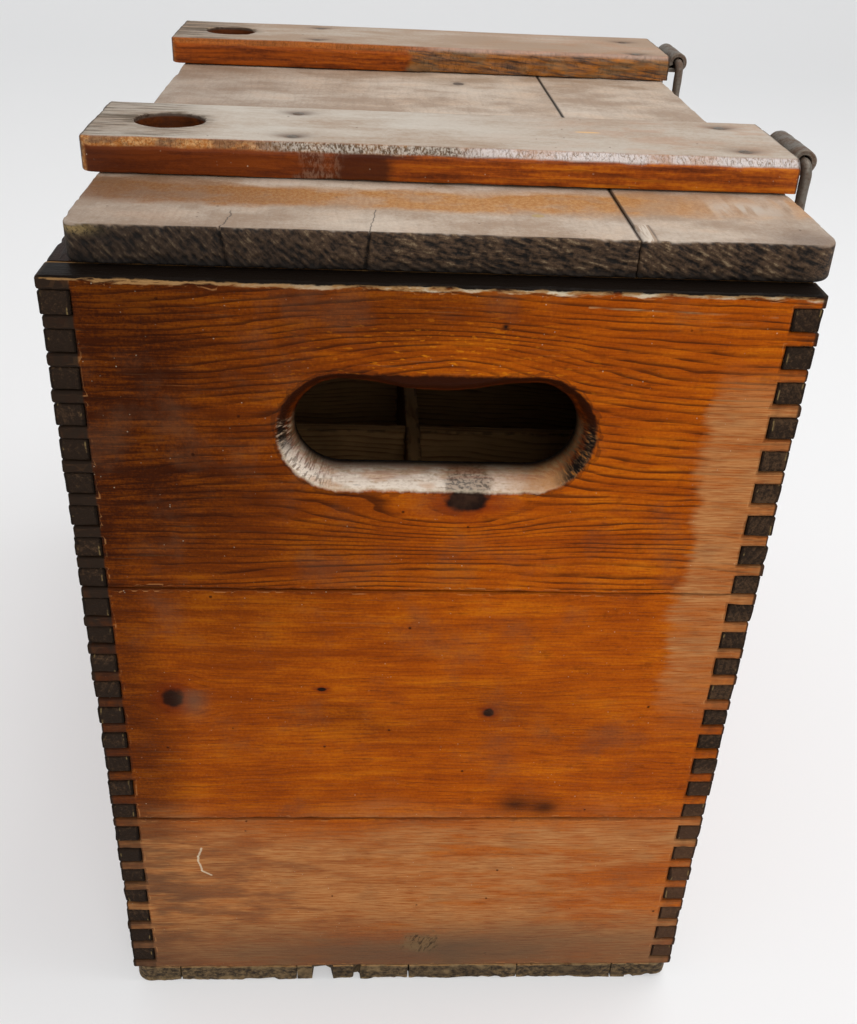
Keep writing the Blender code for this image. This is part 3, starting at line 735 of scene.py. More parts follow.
GRAINS = {
    "front_end_top_board": Grain(
        0, 2, (0.4300, -0.1650), 0.0026, 1.0, 0.62, knots=((SLOT_KNOT, (0.0080, 0.0052)),),
        hills=(((0.008, 0.304), (0.042, 0.018), 0.012), ((0.002, 0.250), (0.060, 0.016), -0.007))),
    "front_end_middle_board": Grain(
        0, 2, (0.0200, -0.1600), 0.0020, 2.0, 0.16,
        knots=(((-0.0928, 0.1672), (0.0046, 0.0052)), ((0.0274, 0.1607), (0.0024, 0.0022)),
               ((-0.0368, 0.1720), (0.0020, 0.0010)))),
    "front_end_bottom_board": Grain(0, 2, (0.1900, -0.1600), 0.0022, 3.0, 0.18),
    "back_end_top_board": Grain(
        0, 2, (0.4100, 0.1650), 0.0027, 4.0, 0.8, knots=(((-0.052, 0.302), (0.004, 0.003)),)),
    "back_end_middle_board": Grain(
        0, 2, (0.0300, 0.1600), 0.0025, 5.0, 0.5, knots=(((0.061, 0.150), (0.004, 0.004)),)),
    "back_end_bottom_board": Grain(0, 2, (0.1700, 0.1600), 0.0026, 6.0, 0.4),
    "left_side_top_board": Grain(
        1, 2, (0.2900, -0.0700), 0.0026, 7.0, knots=(((0.083, 0.262), (0.004, 0.003)),)),
    "left_side_middle_board": Grain(
        1, 2, (0.1500, -0.0600), 0.0030, 8.0, knots=(((-0.104, 0.181), (0.005, 0.004)),)),
    "left_side_bottom_board": Grain(1, 2, (0.0600, -0.0750), 0.0027, 9.0),
    "right_side_top_board": Grain(
        1, 2, (0.2650, 0.0650), 0.0028, 10.0, knots=(((-0.041, 0.247), (0.004, 0.004)),)),
    "right_side_middle_board": Grain(1, 2, (0.1850, 0.0700), 0.0025, 11.0),
    "right_side_bottom_board": Grain(
        1, 2, (0.0450, 0.0600), 0.0030, 12.0, knots=(((0.071, 0.058), (0.005, 0.004)),)),
    "left_bottom_board": Grain(1, 0, (-0.0850, 0.0600), 0.0027, 13.0),
    "middle_bottom_board": Grain(1, 0, (0.0100, -0.0400), 0.0030, 14.0),
    "right_bottom_board": Grain(1, 0, (0.0800, 0.0500), 0.0026, 15.0),
    "long_divider": Grain(1, 2, (0.1000, 0.0400), 0.0024, 16.0, knots=(((-0.031, 0.151), (0.003, 0.003)),)),
    "front_cross_divider": Grain(0, 2, (0.1400, -0.1000), 0.0026, 17.0),
    "rear_cross_divider": Grain(0, 2, (0.0900, 0.1100), 0.0026, 18.0),
    "lid_wide_board": Grain(1, 0, (0.1150, 0.5450), 0.0027, 19.0, knots=(((0.048, 0.021), (0.004, 0.003)),)),
    "lid_narrow_board": Grain(1, 0, (0.2000, 0.5450), 0.0029, 20.0),
    "front_batten": Grain(0, 1, (-0.1120, 0.3150), 0.0024, 21.0),
    "rear_batten": Grain(0, 1, (0.0950, 0.3100), 0.0026, 22.0),
}


def pine(node):
    """A board's new material, with the coordinates that its masks are written in."""
    shade = Shade(f"{node}_pine", GRAINS[node])
    return shade, *shade.axes


def wood_grain(shade, light, line, depth):
    """A board's plain colour, with dark latewood lines and fine fibres, and its height."""
    late, fibre = rings(shade)
    band = shade.fibres(0.20, 0.009, 30)
    pores = shade.fibres(0.007, 0.0007, 31, 3.0, 0.7).step(0.56, 0.72)
    lines = shade.least(late * (0.25 + band * 1.2) * depth, 1.0)
    shares = (lines, pores * 0.45, fibre.step(0.50, 0.80) * 0.35)
    colour = shade.coated(light, *((share, line) for share in shares))
    return colour, 0.35 * late + 0.5 * fibre - 0.4 * pores


def seam_grime(shade, hues, paler=0.45):
    """A thin dark line along the arrises, where boards meet, and a broken, rubbed one beside it."""
    edge = shade.attribute("edge")
    rubbed = edge.between(0.0002, 0.0006, 0.0007, 0.0011)
    rubbed = rubbed * shade.noise(0.012, 6, 4.0, 0.65).step(0.44, 0.58)
    shade.coat(rubbed * paler, hues.worn)
    shade.coat(edge.step(0.00045, 0.00005) * 0.35, hues.grime)


def varnish(shade, hues, dark, worn):
    """Old varnish on pine: tone in streaks and clouds, latewood, knots, handled dark and painted shade, matt
    wear, dents and dust.

    dark and worn say from 0 to 1 how much handling and some painted shade darken it and how much is rubbed
    off.
    """
    late, fibre = rings(shade)
    streak = shade.fibres(0.050, 0.0045, 11, 4.0, 0.6)
    cloud = shade.fibres(0.024, 0.014, 22, 4.0, 0.6)
    peel = shade.noise(0.0011, 24, 3.0, 0.7)
    pores = shade.fibres(0.009, 0.0006, 31, 3.0, 0.7).step(0.56, 0.70)
    tone = streak * 0.34 + cloud * 0.26 + fibre * 0.20 + peel * 0.20
    core, halo = knot_masks(shade)
    shade.colour = shade.coated(
        hues.varnish_line,
        (tone.step(0.34, 0.60), hues.varnish),
        (tone.step(0.49, 0.66) * 0.55, hues.amber),
        (shade.least(late * shade.grain.depth, 0.85), hues.line),
        (pores * 0.35, hues.patina_and_shade),
        (halo * 0.65, hues.varnish_red),
        (core, hues.knot),
    )
    spots = shade.noise((0.008, 0.008, 0.005), 23, 4.0, 0.6).step(0.56, 0.72) * 0.30
    # On the end panels the dark share is partly painted shade, laid over the varnish with the handled
    # darkening.
    deep = shade.most(dark * (0.84 + 0.24 * tone.step(0.58, 0.44)), spots)
    shade.coat(shade.least(deep, 0.95), hues.patina_and_shade)
    smoke = shade.noise(0.030, 29, 5.0, 0.65).step(0.50, 0.72) * 0.35
    shade.coat(smoke, hues.worn_dark)
    rubbed = (fibre.step(0.42, 0.62) * 0.6 + pores * 0.3, hues.varnish_line)
    shade.coat(worn, shade.coated(hues.worn, rubbed, (cloud.step(0.48, 0.66) * 0.25, hues.dirt)))
    scratch = shade.fibres(0.030, 0.0005, 15).step(0.64, 0.72)
    scratch = scratch * shade.noise(0.03, 16).step(0.48, 0.62)
    shade.coat(scratch * (0.08 + 0.35 * worn), hues.bare)
    dust = shade.specks(0.0030, 0.10, 17) * shade.noise(0.014, 18, 3.0).step(0.44, 0.64)
    shade.coat(dust * peel.step(0.38, 0.58) * 0.60, hues.dust)
    dent = shade.specks(0.013, 0.055, 19)
    shade.coat(dent * 0.8, hues.patina_and_shade)
    height = 0.2 * late + fibre * (0.25 + 0.3 * worn) + 0.4 * peel - 0.3 * pores
    height = height - 1.5 * dent - 0.4 * scratch + 0.5 * dust
    return height, 0.36 + 0.30 * worn + 0.14 * cloud


def bare_inside(shade, hues, height, inner):
    """Turns a board's colour to bare, brown wood where inner is 1. Returns its height with that wood's."""
    bare, bare_height = wood_grain(shade, hues.inner, hues.inner_line, 0.6)
    stain = shade.noise(0.05, 50, 4.0, 0.6).step(0.48, 0.72) * 0.4
    shade.coat(inner, shade.mix(stain, bare, hues.grime))
    return height + 0.6 * bare_height * inner


def end_darkness(shade, side, drift):
    """How dark an end panel is, by handling and partly as painted shade: most at its left end and its upper
    left.
    """
    z = shade.axes[2]
    across = side + drift * 0.08
    upward = z + drift * 0.07
    dark = across.step(0.040, -0.105) * (0.26 + 0.66 * upward.step(0.15, 0.27))
    dark = shade.most(dark, upward.step(0.292, 0.328) * across.step(0.080, -0.02) * 0.64)
    dark = shade.most(dark, (side + drift * 0.02).step(-0.072, -0.110) * (0.72 + 0.18 * z.step(0.20, 0.24)))
    return shade.most(dark, shade.hill(side, z, *END_CLOUD) * (0.15 + 0.35 * drift.step(-0.1, 0.1)))


def end_wear(shade, side, drift, rub):
    """How much varnish is rubbed off an end panel: up its right edge and all over its foot."""
    z = shade.axes[2]
    frayed = shade.fibres(0.016, 0.0014, 28, 3.0, 0.6)
    right_edge = side + (shade.noise(0.016, 13, 4.0) - 0.5) * 0.016 + (frayed - 0.5) * 0.012
    worn = right_edge.step(0.0890, 0.0960) * z.between(0.140, 0.205, 0.285, 0.312)
    worn = worn * (0.25 + 0.5 * rub.step(0.34, 0.60) + 0.4 * frayed)
    scuffed = 0.20 + 0.75 * rub.step(0.34, 0.62)
    worn = shade.most(worn, (z + drift * 0.05).step(0.118, 0.085) * scuffed)
    return shade.least(worn, 0.9)


def front_marks(shade, node, rub, hues):
    """The front boards' own marks: nail hole, scratch and painted glints; haze and smudges; a gouge and a
    hook.
    """
    x, _, z = shade.axes
    if node == "front_end_top_board":
        shade.coat(shade.hill(x, z, *NAIL_HOLE), hues.grime)
        shade.coat(shade.stroke(x, z, *SCRATCH, 0.00050) * rub.step(0.44, 0.56) * 0.4, hues.bare)
        # Small golden specks near the grain's arch: painted glints.
        glints = shade.fibres(0.0032, 0.0011, 27).step(0.62, 0.70)
        shade.coat(shade.hill(x, z, *GLEAM) * glints * 0.8, hues.amber)
    elif node == "front_end_middle_board":
        shade.coat(shade.hill(x, z, *KNOT_HAZE) * rub.step(0.35, 0.55) * 0.6, hues.dirt)
        for middle, reach in SMUDGES:
            smudge = shade.hill(x, z, middle, reach) * (0.4 + 0.8 * rub)
            shade.coat(shade.least(smudge, 0.9), hues.knot)
    elif node == "front_end_bottom_board":
        torn = (shade.noise(0.0040, 24, 4.0, 0.7) - 0.5) * 1.3
        torn = torn + shade.hill(x, z, GOUGE, GOUGE_REACH)
        shade.coat(torn.step(0.30, 0.80) * 0.55, hues.bottom)
        splinters = shade.noise((0.0011, 0.004, 0.0050), 20, 4.0, 0.7, turn=0.5).step(0.50, 0.40)
        shade.coat(splinters * torn.step(0.35, 0.80) * 0.75, hues.end_dark)
        for start, end in zip(HOOK, HOOK[1:]):
            hook = shade.stroke(x + (rub - 0.5) * 0.004, z, start, end, 0.00058)
            shade.coat(hook * rub.step(0.25, 0.50) * 0.7, hues.dust)


def end_edges(shade, side, hues):
    """Dirt on an end panel's thin fingers and seams; its top black with grime and painted shade, and broken
    at the lip.
    """
    x, y, z = shade.axes
    fingers = abs(x).step(0.1112, 0.1121)
    dirty = shade.noise((0.004, 0.01, 0.009), 25, 3.0)
    dirt = fingers * (0.15 + side.step(0.10, -0.10) * (0.25 + 0.6 * z.step(0.12, 0.23)) + (dirty - 0.5) * 0.8)
    shade.coat(shade.most(dirt, 0.0), hues.end_dark)
    off_slot = shade.most(abs(z - SLOT_Z).step(0.027, 0.030), abs(x).step(0.060, 0.070))
    seam_grime(shade, hues, off_slot * 0.45 * (1 - fingers * 0.9))
    ragged = shade.noise((0.010, 0.003, 0.003), 21, 4.0, 0.65)
    level = z - WALL_TOP + (ragged - 0.5) * 0.0026
    # The wall's top goes black: grime, and painted shade under the lid.
    shade.coat(level.step(-0.0018, -0.0010), hues.grime)
    wide = shade.noise(0.018, 26).step(0.40, 0.62)
    lip = (level + wide * 0.0008).step(-0.0017, -0.0011) * level.step(-0.0006, -0.0011)
    lip = lip * abs(y).step(END_FACE - 0.004, END_FACE - 0.003)
    pale = shade.mix(wide * ragged.step(0.50, 0.62) * side.step(-0.10, 0.04), hues.inner, hues.dust)
    shade.coat(lip * ragged.step(0.38, 0.52) * 0.8, pale)
    tips = abs(x).step(SIDE_FACE - 0.0016, SIDE_FACE - 0.0008)
    shade.coat(tips * 0.9, hues.end_dark)


def end_pine(node, facing, hues):
    """The varnished pine of an end panel: dark towards its upper left, bright and worn on the right."""
    shade, x, y, z = pine(node)
    side = x * (1.0 if facing < 0 else -1.0)
    drift = shade.fibres(0.070, 0.028, 12, 3.0) - 0.5
    rub = shade.fibres(0.05, 0.012, 14, 4.0, 0.65)
    dark = end_darkness(shade, side, drift)
    height, rough = varnish(shade, hues, dark, end_wear(shade, side, drift, rub))
    grey = (z + drift * 0.03).step(0.050, 0.018) * (0.35 + 0.5 * rub)
    grey = shade.most(grey, z.step(0.12, 0.06) * side.step(0.02, -0.08) * rub.step(0.58, 0.42) * 0.5)
    shade.coat(grey + shade.hill(side, z, *FOOT_DIRT) * 0.35, hues.dirt)
    front_marks(shade, node, rub, hues)
    end_edges(shade, side, hues)
    inner = abs(y).step(INNER_END + 0.0014, INNER_END + 0.0006)
    height = bare_inside(shade, hues, height, inner)
    if node.endswith("top_board"):
        height = slot_colour(shade, hues, height)
    return shade.surface(shade.most(rough, inner * 0.8), height, 0.00024, 0.04)


def slot_silver(shade, ragged, fibre, fine, hues):
    """The slot's silvery wood, with dark fibres and patches worn to tan, most of them on the right."""
    x = shade.axes[0]
    blotch = shade.noise((0.012, 0.005, 0.005), 4, 3.0)
    tan = shade.most(blotch.step(0.46, 0.62) * 0.45, (x + ragged * 0.02).step(0.012, 0.044) * 0.95)
    return shade.coated(
        hues.lip_dark,
        ((fibre * 0.5 + fine * 0.5).step(0.32, 0.54), hues.lip),
        (fibre.step(0.62, 0.70) * 0.7, hues.end_dark),
        (tan, hues.worn),
    )


def slot_char(shade, away, cut, right, hues):
    """The slot's charred wood: black cuts with flakes between them, paler on the left."""
    flake = shade.mix(right, hues.lip_dark, hues.lid_orange)
    return shade.coated(
        hues.grime,
        (cut.step(0.42, 0.60), hues.end_light),
        (cut.step(0.54, 0.64) * (0.65 + 0.15 * right), flake),
        (right * away.step(0.0030, 0.0012) * 0.7, hues.grime),
    )


def slot_colour(shade, hues, height):
    """The rubbed lip of the hand slot: silvery below, charred at its ends and by the knot, dark red above."""
    x, y, z = shade.axes
    beside = abs(x - SLOT_SHIFT) - SLOT_REACH
    over = shade.most(beside, 0.0)
    up = z - SLOT_Z
    away = shade.length(over, up) - SLOT_RADIUS
    ragged = shade.noise(0.004, 2, 4.0, 0.6) - 0.5
    reach = away + ragged * 0.0026
    lip = reach.step(SLOT_FLARE + 0.0005, SLOT_FLARE - 0.0010)
    depth = (END_FACE - abs(y)) / (END_FACE - INNER_END)
    fibre = shade.noise((0.014, 0.003, 0.0006), 3, 4.0, 0.65)
    fine = shade.noise((0.0016, 0.0012, 0.0009), 5, 4.0, 0.7)
    turn = shade.maths("ARCTAN2", up, beside)
    place = shade.add("CombineXYZ", {}, {0: turn * 22.0, 1: away / 0.0024, 2: x * 30.0}).outputs[0]
    cut = shade.noise_at(place, 3.0, 0.65)
    right = x.step(-0.010, 0.010)
    crackle = over.step(0.0, 0.010) * (1 - right) * cut.step(0.52, 0.42)
    burnt = over.step(0.007, 0.015) * right + over.step(0.002, 0.012) * up.step(-0.012, -0.002) * (1 - right)
    upper = (up + ragged * 0.005).step(-0.001, 0.007)
    knot = shade.hill(x, z, *SLOT_CHAR) + ragged * 0.6
    brown = (away + ragged * 0.002).step(0.0022, 0.0004) * (1 - upper)
    rim = reach.step(SLOT_FLARE - 0.0012, SLOT_FLARE - 0.0004) * up.step(-0.002, -0.010) * x.step(0.05, 0.03)
    shade.coat(lip, shade.coated(
        slot_silver(shade, ragged, fibre, fine, hues),
        (crackle * 0.65, hues.end_light),
        (burnt, slot_char(shade, away, cut, right, hues)),
        (upper, hues.patina_and_shade),
        (knot.step(0.25, 0.60) * 0.75, shade.mix(fine.step(0.44, 0.54), hues.grime, hues.lid_brown)),
        (brown * 0.6, hues.bottom),
        (depth.step(0.20, 0.34) * fibre.step(0.42, 0.56) * 0.35, hues.varnish_line),
        # Black deeper into the slot, towards the crate's dark inside: painted shade.
        (depth.step(0.40, 0.90), hues.grime),
        (rim * 0.6, hues.dust),
    ))
    return height + lip * (cut + fine) * 0.9


def side_pine(node, hues):
    """The pine of a side wall: varnish outside, bare wood inside and dark, dirty end grain on its fingers."""
    shade, x, y, z = pine(node)
    drift = shade.fibres(0.11, 0.035, 12, 3.0) - 0.5
    rub = shade.fibres(0.06, 0.012, 14, 4.0, 0.65)
    dark = drift.step(-0.10, 0.16) * 0.45 + (z + drift * 0.1).step(0.18, 0.34) * 0.40
    dark = shade.most(dark, (abs(y) + drift * 0.02).step(0.172, 0.190) * 0.8)
    worn = rub.step(0.46, 0.68) * (0.15 + (z + drift * 0.05).step(0.13, 0.05) * 0.6)
    height, rough = varnish(shade, hues, shade.least(dark, 1.0), worn)
    shade.coat((z + drift * 0.03).step(0.060, 0.020) * (0.3 + 0.5 * rub), hues.dirt)
    seam_grime(shade, hues)
    inner = abs(x).step(INNER_SIDE + 0.0014, INNER_SIDE + 0.0006)
    height = bare_inside(shade, hues, height, inner)
    ends = abs(y).step(END_FACE - 0.0018, END_FACE - 0.0009)
    coarse = shade.noise(0.0012, 20, 4.0, 0.8)
    each = shade.noise((0.3, 0.3, 0.0075), 22, 1.0)
    light = coarse + end_rings(shade) * 0.10 + each * 0.5 - x.step(0.05, -0.05) * 0.12
    edge = shade.attribute("edge")
    rim = edge.between(0.0002, 0.0005, 0.0005, 0.0010) * shade.noise(0.004, 23, 3.0).step(0.56, 0.66)
    shade.coat(ends, shade.coated(
        hues.end_dark,
        (light.step(0.68, 1.00), hues.end_light),
        (z.step(0.150, 0.080) * x.step(0.0, 0.05) * 0.5, hues.worn_dark),
        (edge.step(0.0004, 0.0001) * 0.6, hues.grime),
        (rim * 0.5, hues.end_pale),
    ))
    # The wall's top goes black: grime, and painted shade under the lid.
    shade.coat(z.step(WALL_TOP - 0.0018, WALL_TOP - 0.0006) * 0.9, hues.grime)
    rough = shade.most(rough, shade.most(ends * 0.66, inner * 0.8))
    return shade.surface(rough, height + ends * coarse * 2.4, 0.00028, 0.06)


def bottom_pine(node, hues):
    """The scuffed pine of the bottom: brown and dirty, with crushed end grain along the front."""
    shade, x, y, z = pine(node)
    shade.colour, height = wood_grain(shade, hues.bottom, hues.bottom_dark, 0.7)
    ends = abs(y).step(END_FACE - 0.0030, END_FACE - 0.0018)
    coarse = shade.noise((0.0022, 0.0022, 0.0016), 20, 4.0, 0.7)
    blotch = shade.noise((0.014, 0.014, 0.006), 21, 3.0)
    crushed = (blotch.step(0.52, 0.70) * 0.6, hues.bottom_light)
    shade.coat(ends, shade.coated(hues.bottom_dark, (coarse.step(0.35, 0.70), hues.bottom), crushed))
    grime = shade.noise(0.03, 22, 4.0, 0.6)
    shade.coat(grime.step(0.42, 0.70) * 0.55, hues.bottom_dark)
    inner = z.step(0.0086, 0.0092) * abs(x).step(0.1125, 0.1115)
    height = bare_inside(shade, hues, height, inner)
    edge = shade.attribute("edge").step(0.0012, 0.0002) * shade.noise(0.0050, 40, 3.0).step(0.46, 0.60)
    shade.coat(edge * 0.5, hues.bottom_light)
    height = height * 0.7 + coarse * (0.4 + 1.4 * ends)
    return shade.surface(0.78 + 0.1 * coarse, height, 0.0003, 0.2)


def partition_pine(node, hues):
    """Bare pine partitions, browned and dusty, with darker rubbed top edges."""
    shade, _, _, z = pine(node)
    shade.colour, height = wood_grain(shade, hues.inner, hues.inner_line, 0.75)
    core, halo = knot_masks(shade)
    shade.coat(shade.least(halo * 0.4 + core * 0.6, 0.9), hues.knot)
    stain = shade.noise(0.05, 21, 4.0, 0.6)
    shade.coat(stain.step(0.45, 0.75) * 0.45 + z.step(0.06, 0.01) * 0.35, hues.grime)
    edge = shade.attribute("edge").step(0.0009, 0.0001) * shade.noise(0.0050, 40, 3.0).step(0.42, 0.60)
    shade.coat(edge * 0.5, hues.bottom_dark)
    return shade.surface(0.75 + 0.1 * stain, height, 0.00025, 0.2)


def lid_marks(shade, node, soft, slant, hues):
    """The lid boards' own marks: a pale drip and two cracks; a scuff with painted sheen, a dark corner and
    the chipped seam.
    """
    x, y, _ = shade.axes
    if node == "lid_wide_board":
        shade.coat(shade.hill(x, y, *LID_DRIP).step(0.3, 0.5) * 0.8, hues.end_pale)
        bent = x + (soft - 0.5) * 0.006
        for place, _, reach in LID_CRACKS:
            crack = shade.stroke(bent, y, (place, LID_CRACK_START), (place + 0.0020, reach), 0.00032)
            shade.coat(crack * 0.65, hues.grime)
        return
    # The scuff takes the batten's pale grey: rubbed wood and painted sheen.
    shade.coat(shade.hill(x, y, *LID_SCUFF) * slant.step(0.62, 0.42) * 0.8, hues.batten_grey)
    shade.coat(shade.hill(x, y, *LID_DARK_CORNER) * 0.6, hues.lid_dark)
    chip = (x + (soft - 0.5) * 0.002).step(SEAM_CHIP_EDGE + 0.0010, SEAM_CHIP_EDGE - 0.0004)
    split = shade.fibres(0.020, 0.0012, 17, 3.0).step(0.40, 0.52)
    # The chipped seam takes the lid's pale grey, which is partly painted sheen.
    shade.coat(chip * y.step(-0.1725, -0.1735) * 0.9, shade.coated(
        hues.lid_grey_and_sheen,
        (split, hues.lid_brown),
        (abs(x - SEAM_CHIP_EDGE).step(0.0006, 0.0002) * 0.6, hues.grime),
    ))


def torn_ends(shade, node, ends, coarse, hues):
    """The lid's black, torn end grain: slanting hatches over raised rings lit by a painted highlight. Returns
    the hatches.
    """
    low, high = box(node)
    x, _, z = shade.axes
    if node == "lid_wide_board":
        hatch, other = (shade.noise((0.0045, 0.003, 0.0009), seed, 3.0, 0.6, turn=turn)
                        for seed, turn in ((21, 0.85), (22, 0.15)))
        hatch = hatch + (other - hatch) * x.step(-0.06, 0.0)
    else:
        hatch = shade.noise((0.0060, 0.003, 0.0010), 22, 3.0, 0.6, turn=0.42)
    raised = shade.attribute("relief") * 0.30 + hatch * 0.85 + coarse * 0.55
    shade.coat(ends, shade.coated(
        hues.grime,
        (raised.step(0.66, 0.98), hues.end_light),
        # The highest rings are lighter still: a painted highlight.
        (raised.step(0.94, 1.14) * 0.85, hues.lid_end),
        (z.step(low[2] + 0.0035, low[2] + 0.0005) * 0.85, hues.grime),
        (x.step(0.00, -0.10) * 0.55, hues.grime),
    ))
    if node == "lid_wide_board":
        chipped = shade.hill(x, z, (low[0] + 0.004, high[2] - 0.0018), (0.0060, 0.0015)) * ends
        shade.coat(chipped * coarse.step(0.35, 0.5) * 0.7, hues.end_pale)
    return hatch


def lid_pine(node, hues):
    """The lid: weathered grey-brown with painted sheen, an orange band before the batten, and black, torn end
    grain.
    """
    low, high = box(node)
    shade, x, y, z = pine(node)
    late, fibre = rings(shade)
    soft = shade.noise((0.020, 0.013, 0.013), 11, 4.0, 0.6)
    wide = shade.noise((0.055, 0.030, 0.030), 15, 3.0)
    fine = shade.noise((0.0012, 0.0018, 0.0012), 12, 4.0, 0.75)
    slant = shade.noise((0.0040, 0.030, 0.03), 18, 3.0)
    band = (y + (wide - 0.5) * 0.022 + (soft - 0.5) * 0.014).between(*LID_BAND)
    blush = band * (0.55 + 0.60 * soft.step(0.36, 0.60))
    blush = blush * (1.0 - x.step(0.065, 0.125) * slant.step(0.36, 0.60) * 0.9)
    blush = shade.most(blush, soft.step(0.46, 0.72) * 0.30)
    faded = fine.step(0.40, 0.62) * 0.30 + x.step(-0.10, 0.02) * 0.18
    left = (x + (wide - 0.5) * 0.06).step(0.00, -0.12)
    dent = shade.specks(0.011, 0.05, 16)
    core, halo = knot_masks(shade)
    shade.colour = shade.coated(
        hues.lid_brown,
        # Pale grey patches: weathered wood and painted sheen.
        ((soft * 0.45 + wide * 0.35 + fine * 0.20).step(0.40, 0.65), hues.lid_grey_and_sheen),
        (blush, shade.mix(faded, hues.lid_orange, hues.bare)),
        (late * 0.06, hues.lid_dark),
        (0.04 + left * (0.28 + 0.38 * band), hues.lid_dark),
        (shade.specks(0.0022, 0.12, 13) * soft.step(0.44, 0.62) * 0.4, hues.dust),
        (dent * 0.7, hues.lid_dark),
        (shade.least(core * 0.6 + halo * 0.2, 0.8), hues.knot),
    )
    lid_marks(shade, node, soft, slant, hues)
    shade.coat(abs(x - LID_SEAM).step(0.0011, 0.0005) * 0.8, hues.grime)
    wall = z.step(high[2] - 0.0008, high[2] - 0.0016)
    shade.coat(wall * (0.45 + 0.5 * fibre), hues.lid_dark)
    ends = abs(y).step(high[1] - 0.0022, high[1] - 0.0012)
    ends = shade.most(ends, wall * abs(y).step(high[1] - 0.0075, high[1] - 0.0045))
    coarse = shade.noise(0.0008, 20, 4.0, 0.75)
    hatch = torn_ends(shade, node, ends, coarse, hues)
    under = z.step(low[2] + 0.0012, low[2] + 0.0004) * (1 - ends)
    height = bare_inside(shade, hues, 0.3 * fibre + fine * 0.9 - dent * 1.2, under)
    height = height + ends * (coarse + hatch) * 1.6
    return shade.surface(0.42 + 0.16 * soft + 0.3 * ends, height, 0.00024, 0.30)


class BattenMasks:
    """What the coats of both battens share: faces, chamfer and noises, on a shade."""

    def __init__(self, shade, low, high):
        x, y, z = shade.axes
        self.soft = shade.noise((0.026, 0.012, 0.012), 11, 4.0, 0.6)
        self.wide = shade.noise((0.070, 0.030, 0.030), 15, 3.0)
        self.streak = shade.fibres(0.030, 0.0020, 12, 4.0, 0.65)
        self.fine = shade.noise((0.0018, 0.0014, 0.0014), 17, 4.0, 0.75)
        self.wrinkle = shade.noise((0.0008, 0.0014, 0.0018), 18, 4.0, 0.7)
        self.patchy = shade.noise((0.014, 0.010, 0.010), 14, 4.0, 0.6)
        self.crackle = abs(shade.noise((0.0022, 0.0060, 0.0070), 13, 3.0, 0.6) - 0.5).step(0.022, 0.0)
        self.at = x + (self.patchy - 0.5) * 0.020
        self.front = y.step(low[1] + 0.0012, low[1] + 0.0003)
        self.top = shade.least(
            y.step(low[1] + 0.0028, low[1] + 0.0042), z.step(high[2] - 0.0022, high[2] - 0.0012))
        beside = shade.most(1 - self.top - self.front, 0.0)
        self.slope = beside * y.step(low[1] + 0.0050, low[1] + 0.0036)


def front_batten_wear(shade, masks, hues):
    """The near batten: dark patches down its front and a crackled chamfer, bloomed with a painted sheen, and
    a chip.
    """
    x, y, _ = shade.axes
    at, front, slope, wrinkle, patchy = masks.at, masks.front, masks.slope, masks.wrinkle, masks.patchy
    brown_patch = at.between(-0.0380, -0.0320, -0.0160, -0.0090) * 0.85
    shade.coat(brown_patch * front, hues.patina_and_shade)
    olive = shade.mix(wrinkle.step(0.44, 0.60), hues.end_dark, hues.lid_brown)
    grey_patch = at.between(-0.0500, -0.0455, -0.0360, -0.0310) * patchy.step(0.25, 0.50)
    shade.coat(grey_patch * front * 0.65, olive)
    shade.coat(x.step(0.04, -0.080) * front * 0.70, hues.batten_dark)
    shade.coat(x.step(-0.085, -0.118) * front * 0.5, hues.patina_and_shade)
    shade.coat(slope * 0.85, shade.coated(
        hues.lid_orange,
        (masks.fine.step(0.40, 0.62) * 0.6, hues.bare),
        (patchy.step(0.56, 0.44) * 0.7, hues.driftwood),
    ))
    # The weathered chamfer pales to the batten's grey, partly painted sheen.
    pale = shade.mix(wrinkle.step(0.42, 0.58), hues.driftwood, hues.batten_grey)
    weathered = at.between(-0.066, -0.046, 0.006, 0.022) * 0.75
    shade.coat(slope * weathered, pale)
    # The chamfer's right turns pale and mauve: bloom, and painted sheen.
    shade.coat(slope * at.step(0.004, 0.020) * (0.65 + 0.5 * masks.soft), shade.coated(
        hues.lilac_bloom_and_sheen,
        (masks.crackle * 0.6 + wrinkle.step(0.52, 0.38) * 0.55, hues.lid_brown),
        (patchy.step(0.50, 0.64) * 0.5, hues.lid_orange),
    ))
    shade.coat(shade.hill(x, y, *BATTEN_CHIP).step(0.3, 0.6) * 0.8, hues.bare)


def rear_batten_wear(shade, masks, low, high, hues):
    """The far batten: its front face broken away on the right, splintered and bright in places."""
    x, y, z = shade.axes
    at, slope = masks.at, masks.slope
    # The chamfer's right takes the lid's pale grey, partly painted sheen.
    shade.coat(slope * at.step(-0.01, 0.02) * 0.5, hues.lid_grey_and_sheen)
    shade.coat(slope * at.step(0.02, -0.02) * 0.4, hues.lid_orange)
    shade.coat(x.step(0.02, -0.10) * masks.front * 0.20, hues.batten_dark)
    hurt = at.step(-0.006, 0.000) * y.step(low[1] + 0.0062, low[1] + 0.0050)
    hurt = hurt * z.step(high[2] - 0.0012, high[2] - 0.0030)
    splinter = shade.noise((0.016, 0.0030, 0.0014), 19, 4.0, 0.65, turn=0.10)
    shade.coat(hurt * 0.95, shade.coated(
        hues.worn_dark,
        (splinter.step(0.38, 0.58), hues.lid_orange),
        (splinter.step(0.43, 0.34) * 0.7, hues.end_dark),
        (splinter.step(0.54, 0.68) * at.step(0.02, 0.10) * 0.8, hues.amber),
        (masks.patchy.step(0.46, 0.60) * 0.5, hues.bottom),
    ))


